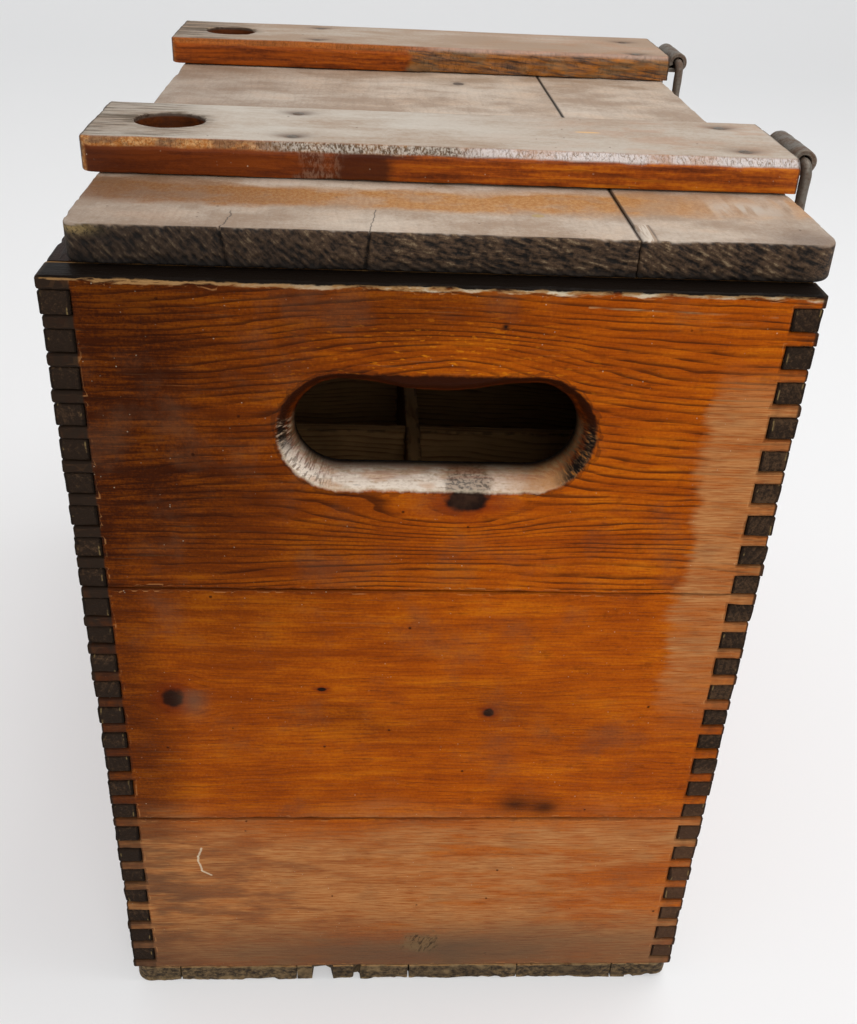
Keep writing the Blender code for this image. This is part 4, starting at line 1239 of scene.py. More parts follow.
def batten_stains(shade, node, low, high, masks, hues):
    """Dark wood round a batten's finger hole and rust round its nails."""
    x, y, _ = shade.axes
    across = x - (low[0] + HOLE_INSET)
    bored = shade.length(across / HOLE_RADIUS, (y - (low[1] + high[1]) / 2) / HOLE_RADIUS)
    shade.coat(bored.step(1.45, 1.02) * masks.streak.step(0.40, 0.58) * masks.top * 0.6, hues.driftwood)
    shade.coat(bored.step(1.03, 0.99) * 0.9, hues.hole)
    for number in (1, 2, 3, 4):
        middle = np.mean(box(f"{node}_nail_{number}"), axis=0)
        stain = shade.hill(x, y, middle[:2], (0.0060, 0.0036)) * (0.3 + 1.1 * masks.streak) * masks.top
        shade.coat(shade.least(stain, 0.85), hues.rust_stain)


def batten_pine(node, hues):
    """A batten: silvery on top, partly painted sheen, dark at its left end, orange down its front, crackled
    along its chamfer.
    """
    low, high = box(node)
    shade, x, _, _ = pine(node)
    late, _ = rings(shade)
    masks = BattenMasks(shade, low, high)
    soft, wide, streak, fine, top = masks.soft, masks.wide, masks.streak, masks.fine, masks.top
    warm = streak * 0.55 + soft * 0.25 + fine * 0.20
    shade.colour = shade.coated(
        hues.batten_dark,
        (warm.step(0.34, 0.58), hues.batten_orange),
        (warm.step(0.48, 0.64) * x.step(-0.10, 0.06) * 0.75, hues.amber),
        (late * 0.30, hues.batten_dark),
    )
    tone = soft * 0.35 + wide * 0.35 + fine * 0.20 + streak * 0.10
    if node == "rear_batten":
        tone = tone - 0.10
    # The top is silvery grey: weathered wood and painted sheen.
    shade.coat(top * 0.97, shade.coated(
        hues.lid_brown,
        (tone.step(0.34, 0.62), hues.batten_grey),
        (x.step(-0.02, 0.10) * soft.step(0.46, 0.62) * 0.35, hues.lid_orange),
    ))
    left_end = (x + (soft - 0.5) * 0.04).step(low[0] + 0.048, low[0] + 0.008)
    shade.coat(left_end * top * (0.30 + 0.65 * streak.step(0.46, 0.58)), hues.driftwood)
    if node == "front_batten":
        front_batten_wear(shade, masks, hues)
    else:
        rear_batten_wear(shade, masks, low, high, hues)
    speck = shade.specks(0.0030, 0.12, 16) * soft.step(0.44, 0.58)
    shade.coat(speck * masks.wrinkle.step(0.42, 0.60) * 0.6, hues.dust)
    dent = shade.specks(0.009, 0.06, 19) * top
    shade.coat(dent * 0.7, hues.lid_dark)
    batten_stains(shade, node, low, high, masks, hues)
    ends = x.step(low[0] + 0.0012, low[0] + 0.0004) + x.step(high[0] - 0.0012, high[0] - 0.0004)
    shade.coat(ends * 0.8, hues.end_dark)
    height = streak * 0.5 + fine * 0.6 + masks.slope * (masks.wrinkle * 1.6 - masks.crackle * 0.8) - dent
    return shade.surface(0.42 + 0.16 * soft + 0.1 * top, height, 0.00024, 0.14)


def rusty_iron(name, hues, size):
    """Old iron: brown rust in blooms over dull metal, pitted."""
    shade = Shade(name)
    bloom = shade.noise(size, 1.0, 4.0, 0.6)
    fine = shade.noise(size * 0.18, 2.0, 3.0, 0.7)
    rust = (bloom * 0.7 + fine * 0.4).step(0.44, 0.68)
    shade.colour = shade.coated(
        hues.iron,
        (rust, hues.rust),
        (fine.step(0.55, 0.72) * 0.5, hues.rust_dark),
        # Lighter edges: rubbed metal and a painted highlight.
        (shade.attribute("edge").step(0.0006, 0.0) * 0.25, hues.iron_rubbed_edge_and_highlight),
    )
    return shade.surface(0.46 + 0.3 * rust, fine * 0.8 + bloom * 0.4, 0.0002, 0.5, 0.7 - 0.6 * rust)


# Boards

def finger_ends(low, high, thick, tip, root, seed):
    """Corners and softness up one end of a board: out at the tip on each finger and in at the root between.

    The thin fingers fill the first part of every pitch and the thick ones the rest. Each tip stands in or out
    by its own small amount, and its corners are worn round.
    """
    count = round((WALL_TOP - WALL_BOTTOM - END_FINGER) / FINGER_PITCH)
    base = WALL_BOTTOM + np.arange(count + (not thick)) * FINGER_PITCH
    starts = base + (END_FINGER if thick else 0) + FIT_GAP / 2
    ends = base + (FINGER_PITCH if thick else END_FINGER) - FIT_GAP / 2
    numbers = np.arange(len(base))[:, None]
    tips = tip + np.sign(tip) * (random_at(numbers, seed) - 0.62) * 0.0011
    wear = 0.0003 + 0.0007 * random_at(numbers, seed + 1)
    corners = []
    softness = []
    height = low
    for start, end, out, soft in zip(starts, ends, tips, wear):
        start = max(start, low)
        end = min(end, high)
        if end - start < FIT_GAP:
            continue
        if start - height > FIT_GAP:
            corners += [(root, height), (root, start)]
            softness += [0.0, 0.0]
        corners += [(out, start), (out, end)]
        softness += [soft, soft]
        height = end
    if high - height > FIT_GAP:
        corners += [(root, height), (root, high)]
        softness += [0.0, 0.0]
    return corners, softness


def comb_outline(low, high, thick, tip, root, seed, spacing):
    """A board with fingers at both its ends, counter-clockwise."""
    right, right_soft = finger_ends(low, high, thick, tip, root, seed)
    left, left_soft = finger_ends(low, high, thick, -tip, -root, seed + 7)
    return Outline(right + left[::-1], right_soft + left_soft[::-1], spacing)


def arris(outline, base, chips, seed):
    """Arris radii along an outline: a base radius that wanders, and chips where a noise peaks."""
    along = outline.along[:, None]
    wander = 0.35 * noise(along, 0.011, seed) + 0.25 * noise(along, 0.0035, seed + 1)
    chip = ramp(noise(along, 0.0052, seed + 2), 0.45, 0.95)
    return outline.level(base * (1 + wander) + chips * chip)


def steps_between(low, high, spacing):
    """Heights evenly spaced between two faces, without the faces themselves."""
    count = max(1, round((high - low) / spacing))
    return low + (high - low) * np.arange(1, count) / count


def shiver(points, size, amount, seed):
    """Points moved by a smooth random vector: one noise for each axis."""
    moves = [noise(points, size, seed + number) for number in range(3)]
    return points + amount * np.stack(moves, 1)


def patch(middle, radius, spacing):
    """Points on a fine square grid inside a circle."""
    line = np.arange(-radius, radius, spacing)
    a, b = np.meshgrid(line, line)
    grid = np.stack((a.ravel(), b.ravel()), 1)
    return grid[np.linalg.norm(grid, axis=1) < radius] + middle


def slot_outline():
    """The hand slot inside: two half circles, a straight lower edge and an upper one dipped by a cosine."""
    turn = np.linspace(-np.pi / 2, np.pi / 2, 44)
    right = np.stack((SLOT_REACH + SLOT_RADIUS * np.cos(turn), SLOT_RADIUS * np.sin(turn)), 1)
    across = np.linspace(1, -1, 44)[1:-1]
    dip = SLOT_DIP * (1 + np.cos(np.pi * across)) / 2
    upper = np.stack((SLOT_REACH * across, SLOT_RADIUS - dip), 1)
    lower = np.stack((-SLOT_REACH * across, np.full(len(across), -SLOT_RADIUS)), 1)
    loop = np.concatenate((right, upper, -right, lower))
    return Outline(loop[::-1] + (SLOT_SHIFT, SLOT_Z), 0.0, 1.0)


def slot_rows(outline, facing, seed):
    """Rings through the hand slot, from low y to high y.

    At a share t of the way in from the outer face the slot is wider by flare (1 - t)^2.6, with a wandering
    lip and fine cuts across it at both ends.
    """
    along = outline.along[:, None]
    ends = ramp(np.abs(outline.points[:, 0] - SLOT_SHIFT), SLOT_REACH - 0.004, SLOT_REACH + 0.006)
    wander = 1 + 0.10 * noise(along, 0.012, seed) + 0.05 * noise(along, 0.004, seed + 1)
    cuts = ends * (0.00050 * noise(along, 0.0015, seed + 2) + 0.00025 * noise(along, 0.0007, seed + 3))
    t = np.array((0.0, 0.0, 0.015, 0.05, 0.1, 0.16, 0.23, 0.31, 0.4, 0.5, 0.62, 0.75, 0.87, 0.96, 1.0, 1.0))
    extra = np.array((0.0012, 0.0005, 0.00018, 0, 0, 0, 0, 0, 0, 0, 0, 0, 0, 0.0001, 0.0005, 0.0013))
    flare = SLOT_FLARE * (1 - t[:, None]) ** 2.6
    insets = flare * wander + extra[:, None] + cuts * (1 - t[:, None]) * np.minimum(1, flare / 0.001)
    outer = facing * END_FACE
    inner = facing * INNER_END
    heights = outer + (inner - outer) * t[:, None] + np.zeros(len(along))
    edges = np.where(t < 0.04, 0.0, FAR)[:, None] + np.zeros(len(along))
    if facing > 0:
        return insets[::-1], heights[::-1], edges[::-1]
    return insets, heights, edges


def end_board(side, part, facing, sizes, hues):
    """One board of an end panel, with thin fingers, a worn top edge and, in the top one, the hand slot."""
    node = f"{side}_end_{part}_board"
    low, high = box(node)
    seed = seed_of(node)
    outline = comb_outline(low[2], high[2], False, SIDE_FACE, INNER_SIDE - FIT_GAP, seed, 0.0013)
    outer = arris(outline, sizes.arris * 0.9, 0.0004, seed)
    inner = arris(outline, sizes.arris * 0.7, 0.0002, seed + 20)
    if part == "top":
        top = ramp(outline.points[:, 1], WALL_TOP - 0.0006, WALL_TOP - 0.0001)
        top = top * ramp(np.abs(outline.points[:, 0]), SIDE_FACE - 0.010, SIDE_FACE - 0.018)
        along = outline.along[:, None]
        ragged = 0.5 + 0.3 * noise(along, 0.013, seed + 5) + 0.3 * noise(along, 0.0034, seed + 6)
        outer = outline.level(outer + top * 0.0022 * np.clip(ragged, 0.1, 1.3))
    wear = (outer, inner) if facing < 0 else (inner, outer)
    levels = steps_between(low[1], high[1], 0.0032)
    loops = [(outline, worn_rows(outline, low[1], high[1], *wear, levels))]
    extra = None
    if part == "top":
        hole = slot_outline()
        loops.append((hole, slot_rows(hole, facing, seed)))
    if (side, part) == ("front", "bottom"):
        extra = patch(GOUGE, 0.011, 0.0011)
    points, faces, edges = slab(loops, "Y", 0.005, extra)
    depth = ramp(facing * points[:, 1], INNER_END, END_FACE)
    plan = points[:, (0, 2)]
    planed = 0.00016 * noise(plan, 0.035, seed) + 0.00008 * noise(plan, (0.05, 0.006), seed + 1)
    if extra is not None:
        away = np.linalg.norm((plan - GOUGE) / (0.0095, 0.0075), axis=1)
        torn = ramp(away + 0.35 * noise(plan, 0.003, seed + 2), 1.0, 0.2)
        planed = planed + torn * (0.0009 + 0.0007 * noise(plan, (0.0035, 0.0012), seed + 3))
    points[:, 1] -= facing * depth * planed
    dress(node, (points, faces, edges), end_pine(node, facing, hues))


def side_board(side, part, facing, sizes, hues):
    """One board of a side wall, with thick fingers whose end grain shows in the end panels."""
    node = f"{side}_side_{part}_board"
    low, high = box(node)
    seed = seed_of(node)
    outline = comb_outline(low[2], high[2], True, END_FACE, INNER_END - FIT_GAP, seed, 0.0014)
    outer = arris(outline, sizes.arris * 1.2, 0.0012, seed)
    inner = arris(outline, sizes.arris * 0.8, 0.0005, seed + 20)
    wear = (outer, inner) if facing < 0 else (inner, outer)
    levels = steps_between(low[0], high[0], 0.0024)
    loops = [(outline, worn_rows(outline, low[0], high[0], *wear, levels))]
    points, faces, edges = slab(loops, "X", 0.0055)
    plan = points[:, 1:3]
    planed = 0.00018 * noise(plan, 0.04, seed) + 0.00008 * noise(plan, (0.05, 0.006), seed + 1)
    points[:, 0] -= facing * ramp(facing * points[:, 0], INNER_SIDE, SIDE_FACE) * planed
    ends = ramp(np.abs(points[:, 1]), END_FACE - 0.002, END_FACE - 0.0004)
    rough = 0.00022 * noise(points, 0.0028, seed + 3) + 0.00012 * noise(points, 0.0012, seed + 4)
    points[:, 1] -= np.sign(points[:, 1]) * ends * rough
    dress(node, (points, faces, edges), side_pine(node, hues))


def broken_outline(part, low, high):
    """A bottom board's outline, broken out along its front edge and round at the crate's corners."""
    corners = [(low[0], low[1])]
    for middle, wide, deep in BREAKS[part]:
        corners += [
            (middle - wide / 2, low[1]), (middle - wide * 0.44, low[1] + deep * 0.9),
            (middle + wide * 0.1, low[1] + deep), (middle + wide * 0.36, low[1] + deep * 0.8),
            (middle + wide / 2, low[1]),
        ]
    front_count = len(corners)
    corners += [(high[0], low[1]), (high[0], high[1]), (low[0], high[1])]
    softness = np.full(len(corners), 0.0)
    spacing = np.full(len(corners), 0.0007)
    spacing[front_count:] = (0.0022, 0.0012, 0.0022)
    outer = {"left": (0, -1), "middle": (), "right": (front_count, front_count + 1)}[part]
    softness[list(outer)] = BOTTOM_CORNER
    return Outline(corners, softness, spacing)


def bottom_board(part, hues):
    """A board of the bottom, with chipped front and back ends; the middle one lacks a splinter."""
    node = f"{part}_bottom_board"
    low, high = box(node)
    seed = seed_of(node)
    outline = broken_outline(part, low, high)
    under = arris(outline, 0.0009, 0.0013, seed)
    over = arris(outline, 0.0005, 0.0005, seed + 20)
    levels = steps_between(low[2], high[2], 0.0012)
    rows = worn_rows(outline, low[2], high[2], under, over, levels)
    points, faces, edges = slab([(outline, rows)], "Z", 0.006)
    ends = ramp(np.abs(points[:, 1]), END_FACE - 0.0030, END_FACE)
    rough = 0.45 + 0.5 * noise(points, (0.009, 0.004, 0.003), seed) + 0.3 * noise(points, 0.0016, seed + 1)
    points[:, 1] -= np.sign(points[:, 1]) * ends * 0.0008 * np.clip(rough, 0, 1.5)
    sides = ramp(np.abs(points[:, 0]), SIDE_FACE - 0.0030, SIDE_FACE)
    points[:, 0] -= np.sign(points[:, 0]) * sides * 0.0005 * np.clip(rough, 0, 1.5)
    lift = ramp(points[:, 2], 0.004, 0.0) * ramp(noise(points[:, :2], 0.006, seed + 5), 0.2, 0.9)
    points[:, 2] += 0.0009 * lift * ramp(np.abs(points[:, 1]), END_FACE - 0.004, END_FACE)
    dress(node, (points, faces, edges), bottom_pine(node, hues))


def partition(node, hues):
    """A partition's board: its own outline with the notches of the laps, and worn edges."""
    low, high = box(node)
    seed = seed_of(node)
    lengthwise = node == "long_divider"
    first, through = (1, 0) if lengthwise else (0, 1)
    thick = high[through] - low[through]
    notch = thick / 2 + FIT_GAP
    lap = (low[2] + high[2]) / 2
    corners = [(low[first], low[2])]
    if lengthwise:
        for cross in ("front_cross_divider", "rear_cross_divider"):
            middle = (box(cross)[0][1] + box(cross)[1][1]) / 2
            corners += [(middle - notch, low[2]), (middle - notch, lap),
                        (middle + notch, lap), (middle + notch, low[2])]
        corners += [(high[first], low[2]), (high[first], high[2]), (low[first], high[2])]
    else:
        corners += [(high[first], low[2]), (high[first], high[2]), (notch, high[2]),
                    (notch, lap - FIT_GAP), (-notch, lap - FIT_GAP), (-notch, high[2]), (low[first], high[2])]
    outline = Outline(corners, 0.0, 0.0030)
    worn = arris(outline, 0.0006, 0.0005, seed)
    levels = (low[through] + thick / 2,)
    rows = worn_rows(outline, low[through], high[through], worn, worn, levels)
    points, faces, edges = slab([(outline, rows)], "X" if lengthwise else "Y", 0.008)
    dress(node, (points, faces, edges), partition_pine(node, hues))


def carve_ends(points, pith, high, depth, seed):
    """Sinks a lid board's end grain between the rings round its pith and along cracks, in place.

    The rings are the sine of the distance from the pith. A point sinks by the depth times 1.15 less its
    relief. Returns the relief, from 0 in a pit to 1 on a ring.
    """
    inward = -np.sign(points[:, 1])
    ends = ramp(np.abs(points[:, 1]), high[1] - 0.0028, high[1] - 0.0003)
    plan = points[:, (0, 2)]
    away = plan - pith
    radius = np.hypot(away[:, 0], away[:, 1]) + 0.0010 * noise(plan, 0.012, seed)
    radius = radius + 0.0004 * noise(plan, 0.003, seed + 8)
    lines = np.sin(2 * np.pi * radius / 0.0024 + 2.5 * noise(plan, 0.0045, seed + 9))
    relief = 0.5 + 0.20 * lines + 0.34 * noise(plan, 0.0013, seed + 1) + 0.22 * noise(plan, 0.0045, seed + 2)
    relief = np.clip(relief, 0, 1)
    wave = 0.5 + 0.5 * noise(plan, (0.022, 0.01), seed + 3)
    deep = depth * (1.15 - relief) + 0.0006 * wave
    for place, lean, _ in LID_CRACKS:
        gap = plan[:, 0] - place - lean * (high[2] - plan[:, 1])
        crack = np.exp(-((gap / 0.00045) ** 2)) * (points[:, 1] < 0)
        deep = deep + 0.0012 * crack
        relief = relief * (1 - crack)
    points[:, 1] += inward * ends * np.clip(deep, 0, 0.0026)
    return relief


def lid_board(node, sizes, hues):
    """A lid board with rough end grain: rings stand out on its ends, which are cracked and chipped."""
    low, high = box(node)
    seed = seed_of(node)
    wide = node == "lid_wide_board"
    corners = [(low[0], low[1]), (high[0], low[1]), (high[0], high[1]), (low[0], high[1])]
    softness = (LID_CORNER, 0.0006, 0.0006, LID_CORNER)
    if not wide:
        softness = (0.0012, LID_HINGE_CORNER, LID_HINGE_CORNER, 0.0006)
    outline = Outline(corners, softness, (0.00045, 0.0016, 0.0009, 0.0016))
    over = arris(outline, 0.0010, 0.0009, seed)
    under = arris(outline, 0.0008, 0.0008, seed + 20)
    seam = high[0] if wide else low[0]
    at_seam = np.abs(outline.points[:, 0] - seam) < 0.0010
    over[at_seam] = 0.0004
    under[at_seam] = 0.0004
    over = outline.level(over)
    under = outline.level(under)
    if not wide:
        front = ramp(outline.points[:, 1], low[1] + SEAM_CHIP_LENGTH, low[1] + SEAM_CHIP_LENGTH - 0.002)
        chip = front * ramp(outline.points[:, 0], low[0] + 0.007, low[0] + 0.003)
        over = outline.level(over + chip * (0.0020 + 0.0005 * noise(outline.along[:, None], 0.003, seed + 4)))
    levels = steps_between(low[2], high[2], 0.00045)
    loops = [(outline, worn_rows(outline, low[2], high[2], under, over, levels, 0.0009))]
    for side in ("front", "rear") if wide else ():
        batten_low, batten_high = box(f"{side}_batten")
        hole = hole_outline((batten_low[0] + HOLE_INSET, (batten_low[1] + batten_high[1]) / 2))
        loops.append((hole, worn_rows(hole, low[2], high[2], 0.0005, 0.0003, levels[::6])))
    points, faces, edges = slab(loops, "Z", 0.005)
    relief = carve_ends(points, GRAINS[node].pith, high, sizes.end_relief, seed)
    top = ramp(points[:, 2], low[2], high[2])
    plan = points[:, :2]
    warp = 0.00025 * noise(plan, 0.05, seed + 6) - 0.00012 * noise(plan, (0.012, 0.05), seed + 7)
    points[:, 2] -= np.maximum(top * (0.0003 + warp), 0)
    dress(node, (points, faces, edges), lid_pine(node, hues), relief=relief)


def dimple(points, place, deep):
    """Presses a dish round a nail into a face, in place: a depth times e to the minus squared distance."""
    away = np.linalg.norm(points[:, :2] - place[:2], axis=1) / 0.0042
    near = np.abs(points[:, 2] - place[2]) < 0.0015
    points[:, 2] -= near * deep * np.exp(-(away**2))


def hole_outline(middle):
    """A finger hole: a circle, run clockwise so that the wood is on its left."""
    turn = np.linspace(0, -2 * np.pi, 72, endpoint=False)
    ring = HOLE_RADIUS * np.stack((np.cos(turn), np.sin(turn)), 1)
    return Outline(ring + middle, 0.0, 1.0)


def batten_details(low, high, nails):
    """Points for a batten's faces: fine round the nails' dishes, and in rows along both chamfers."""
    middle = (low[1] + high[1]) / 2
    half = (high[1] - low[1]) / 2
    round_nails = np.concatenate([patch(nail[:2], 0.0075, 0.0010) for nail in nails])
    round_nails = round_nails[np.abs(round_nails[:, 1] - middle) < half - 0.0055]
    round_nails = round_nails[round_nails[:, 0] < high[0] - 0.003]
    lines = np.arange(low[0] + 0.0025, high[0] - 0.0018, 0.0013)
    aside = half - BATTEN_CHAMFER + np.array((-0.0012, -0.0005, 0.0, 0.0005, 0.0013))
    a, b = np.meshgrid(lines, np.concatenate((middle - aside, middle + aside)))
    return np.concatenate((round_nails, np.stack((a.ravel(), b.ravel()), 1)))


def chamfer(points, low, high, seed):
    """Slopes a batten's long edges, in place: down by c, its width less the way to the edge.

    The width wanders, c turns smoothly to 0 inside as (c + sqrt(c^2 + s^2)) / 2, and the slope fades towards
    the left end.
    """
    width = BATTEN_CHAMFER * (1 + 0.08 * noise(points[:, :1], 0.012, seed + 3))
    width = width + 0.00012 * noise(points[:, :1], 0.004, seed + 4)
    aside = (high[1] - low[1]) / 2 - np.abs(points[:, 1] - (low[1] + high[1]) / 2)
    cut = width - aside
    cut = (cut + np.sqrt(cut**2 + 0.0004**2)) / 2
    left = ramp(points[:, 0], low[0] - 0.001, low[0] + BATTEN_CORNER)
    points[:, 2] -= cut * (0.25 + 0.75 * left) * (points[:, 2] - low[2]) / (high[2] - low[2])


def break_front(points, low, seed):
    """Tears the right half of a batten's front face, in place: in by up to 2.5 mm of noise."""
    front = ramp(points[:, 1], low[1] + 0.004, low[1]) * ramp(points[:, 0], -0.006, 0.004)
    plan = points[:, (0, 2)]
    torn = 0.45 + 0.5 * noise(plan, (0.016, 0.004), seed + 5)
    torn = torn + 0.35 * noise(plan, (0.006, 0.0014), seed + 6)
    points[:, 1] += front * 0.0021 * np.clip(torn, 0, 1.2)


def batten(side, hues):
    """A batten: chamfered long edges, a bored finger hole, dishes round its nails and a kerf for the strap.

    The rear one's front face is broken away over its right half.
    """
    node = f"{side}_batten"
    low, high = box(node)
    seed = seed_of(node)
    leaf_low, leaf_high = box(f"{side}_hinge_strap")
    middle = (low[1] + high[1]) / 2
    kerf_y = (leaf_low[1] - FIT_GAP, leaf_high[1] + FIT_GAP)
    kerf_z = (leaf_low[2] - FIT_GAP, leaf_low[2] + STRAP_THICK + FIT_GAP)
    corners = [(low[0], low[1]), (high[0], low[1])]
    corners += [(high[0], place + way * HAIR) for place in kerf_y for way in (-1, 1)]
    corners += [(high[0], high[1]), (low[0], high[1])]
    softness = np.zeros(len(corners))
    softness[[0, -1]] = BATTEN_CORNER
    softness[[1, -2]] = 0.0007
    outline = Outline(corners, softness, 0.0011)
    over = arris(outline, 0.0007, 0.0005, seed)
    under = arris(outline, 0.0005, 0.0006, seed + 20)
    lips = [place + way * HAIR for place in kerf_z for way in (-1, 1)]
    levels = np.sort(np.concatenate((
        steps_between(low[2] + 0.001, kerf_z[0] - 0.0006, 0.0009), lips,
        steps_between(kerf_z[1] + 0.0004, high[2] - 0.0006, 0.0009))))
    rows = worn_rows(outline, low[2], high[2], under, over, levels, 0.0007)
    hole = hole_outline((low[0] + HOLE_INSET, middle))
    rim = arris(hole, 0.0009, 0.0009, seed + 30)
    hole_levels = steps_between(low[2], high[2], 0.003)
    loops = [(outline, rows), (hole, worn_rows(hole, low[2], high[2], 0.0003, rim, hole_levels))]
    nails = [np.array(box(f"{node}_nail_{number}")).mean(0) for number in (1, 2, 3, 4)]
    points, faces, edges = slab(loops, "Z", 0.0045, batten_details(low, high, nails))
    top = ramp(points[:, 2], low[2], high[2])
    plan = points[:, :2]
    warp = 0.00018 * noise(plan, (0.05, 0.02), seed) + 0.0001 * noise(plan, (0.06, 0.004), seed + 1)
    points[:, 2] -= top * (0.0002 + warp)
    chamfer(points, low, high, seed)
    for nail in nails:
        dimple(points, (nail[0], nail[1], high[2]), 0.0006)
    in_kerf = (points[:, 1] > kerf_y[0]) & (points[:, 1] < kerf_y[1])
    in_kerf &= (points[:, 2] > kerf_z[0]) & (points[:, 2] < kerf_z[1]) & (points[:, 0] > high[0] - 0.002)
    points[in_kerf, 0] -= 0.006
    if side == "rear":
        break_front(points, low, seed)
    dress(node, (points, faces, edges), batten_pine(node, hues))


# Iron fittings

def strap_outline(node):
    """A strap seen from its side: a flat leaf that runs on into an open roll."""
    low, high = box(node)
    outer = BARREL_BORE / 2 + STRAP_THICK
    centre = np.array((high[0] - outer, low[2] + outer))
    circles = []
    for radius in (outer, BARREL_BORE / 2):
        turn = np.append(np.linspace(0, ROLL - 0.0010 / radius, 48), ROLL) - np.pi / 2
        circles.append(centre + radius * np.stack((np.cos(turn), np.sin(turn)), 1))
    rolled = circles[0]
    bored = circles[1][::-1]
    leaf = ((low[0], low[2]), (low[0], low[2] + STRAP_THICK))
    corners = np.concatenate((leaf[:1], rolled, bored, leaf[1:]))
    softness = np.zeros(len(corners))
    softness[[len(rolled), len(rolled) + 1]] = 0.00018
    return Outline(corners, softness, 0.0012)


def strap(side, hues):
    """A hinge strap: its rolled outline carried along the barrel, with rounded edges and rust pits."""
    node = f"{side}_hinge_strap"
    low, high = box(node)
    outline = strap_outline(node)
    levels = steps_between(low[1], high[1], 0.0012)
    rows = worn_rows(outline, low[1], high[1], 0.00045, 0.00045, levels, 0.0002)
    points, faces, edges = slab([(outline, rows)], "Y", 0.0012)
    points = shiver(points, 0.0035, 0.00011, 31)
    points = shiver(points, 0.0011, 0.00006, 41)
    dress(node, (points, faces, edges), rusty_iron(f"{node}_iron", hues, 0.006), "rusted")


def bent_path(corners, radii, spacing):
    """A line through corners, each turned by a quarter circle of its own radius, with points evenly apart."""
    corners = np.asarray(corners, float)
    runs = np.diff(corners, axis=0)
    runs = runs / np.linalg.norm(runs, axis=1)[:, None]
    stretches = []
    start = corners[0]
    for corner, into, out, radius in zip(corners[1:-1], runs, runs[1:], radii):
        length = np.linalg.norm(corner - into * radius - start)
        stretches.append(start + into * np.arange(0, length, spacing)[:, None])
        turn = np.linspace(0, np.pi / 2, max(6, round(radius * 1.6 / spacing)))[:, None]
        centre = corner - into * radius + out * radius
        stretches.append(centre - out * radius * np.cos(turn) + into * radius * np.sin(turn))
        start = corner + out * radius
    length = np.linalg.norm(corners[-1] - start)
    shares = np.linspace(0.1, 1, max(2, round(length / spacing)))[:, None]
    stretches.append(start + runs[-1] * shares * length)
    return np.concatenate([stretches[0], *[line[1:] if number % 2 == 0 else line
                                           for number, line in enumerate(stretches[1:], 1)]])


def wire_loop(side, hues):
    """A bent rod: up outside the lid, through the barrel and down again, its ends clenched in the crate."""
    node = f"{side}_wire_loop"
    low, high = box(node)
    strap_low, strap_high = box(f"{side}_hinge_strap")
    outer = BARREL_BORE / 2 + STRAP_THICK
    axis_x = strap_high[0] - outer
    axis_z = strap_low[2] + outer
    first, last = low[1] + WIRE_RADIUS, high[1] - WIRE_RADIUS
    inner = low[0] + WIRE_RADIUS
    height = WALL_TOP - WIRE_DROP
    corners = (
        (inner, first, low[2]), (inner, first, height), (axis_x, first, height), (axis_x, first, axis_z),
        (axis_x, last, axis_z), (axis_x, last, height), (inner, last, height), (inner, last, low[2]),
    )
    path = bent_path(corners, WIRE_BENDS, 0.0012)
    points, faces, edges = tube(path, WIRE_RADIUS, 20, 51 if side == "front" else 61)
    dress(node, (points, faces, edges), rusty_iron(f"{node}_iron", hues, 0.007), "rusted")


def nail_profile(head, shank, length):
    """A nail from the top of its domed head to its point, as radii and heights along its shank."""
    thick = HEAD_THICK
    return (
        (0.0, -thick), (head * 0.35, -thick * 0.97), (head * 0.65, -thick * 0.82),
        (head * 0.88, -thick * 0.55), (head, -thick * 0.2), (head * 0.97, -thick * 0.02),
        (shank * 1.1, 0.0), (shank, 0.0006),
        (shank, length - 2 * shank), (shank * 0.4, length - 0.0003), (0.0, length),
    )


def nail(node, shank, down, hues):
    """A nail with an uneven, rusted head; down says which way its point goes."""
    low, high = box(node)
    middle = (low + high) / 2
    head = (high[0] - low[0]) / 2
    length = high[2] - low[2] - HEAD_THICK
    start = high[2] - HEAD_THICK if down else low[2] + HEAD_THICK
    seed = seed_of(node)
    profile = nail_profile(head, shank / 2, length)
    surface = turned(profile, (middle[0], middle[1], start), (0, 0, -1 if down else 1), 20, seed, 0.06)
    dress(node, surface, rusty_iron(f"{node}_iron", hues, 0.004), "rusted")


# Sizes and colours that a user may change

def hue(name, red, green, blue, description):
    """A colour property whose default is written as it looks on a screen."""
    return FloatVectorProperty(name=name, description=description, subtype="COLOR", size=3, min=0, max=1,
                               default=srgb(red, green, blue))


class CrateSizes(bpy.types.PropertyGroup):
    """How far the crate is worn."""

    arris: FloatProperty(
        name="Worn Edge", description="Radius that the boards' edges are worn to", default=0.0006,
        min=0.0002, max=0.0012, subtype="DISTANCE", unit="LENGTH", precision=4)
    end_relief: FloatProperty(
        name="End Grain Depth", description="How far the rings stand out on the lid's ends", default=0.0010,
        min=0.0, max=0.0018, subtype="DISTANCE", unit="LENGTH", precision=4)


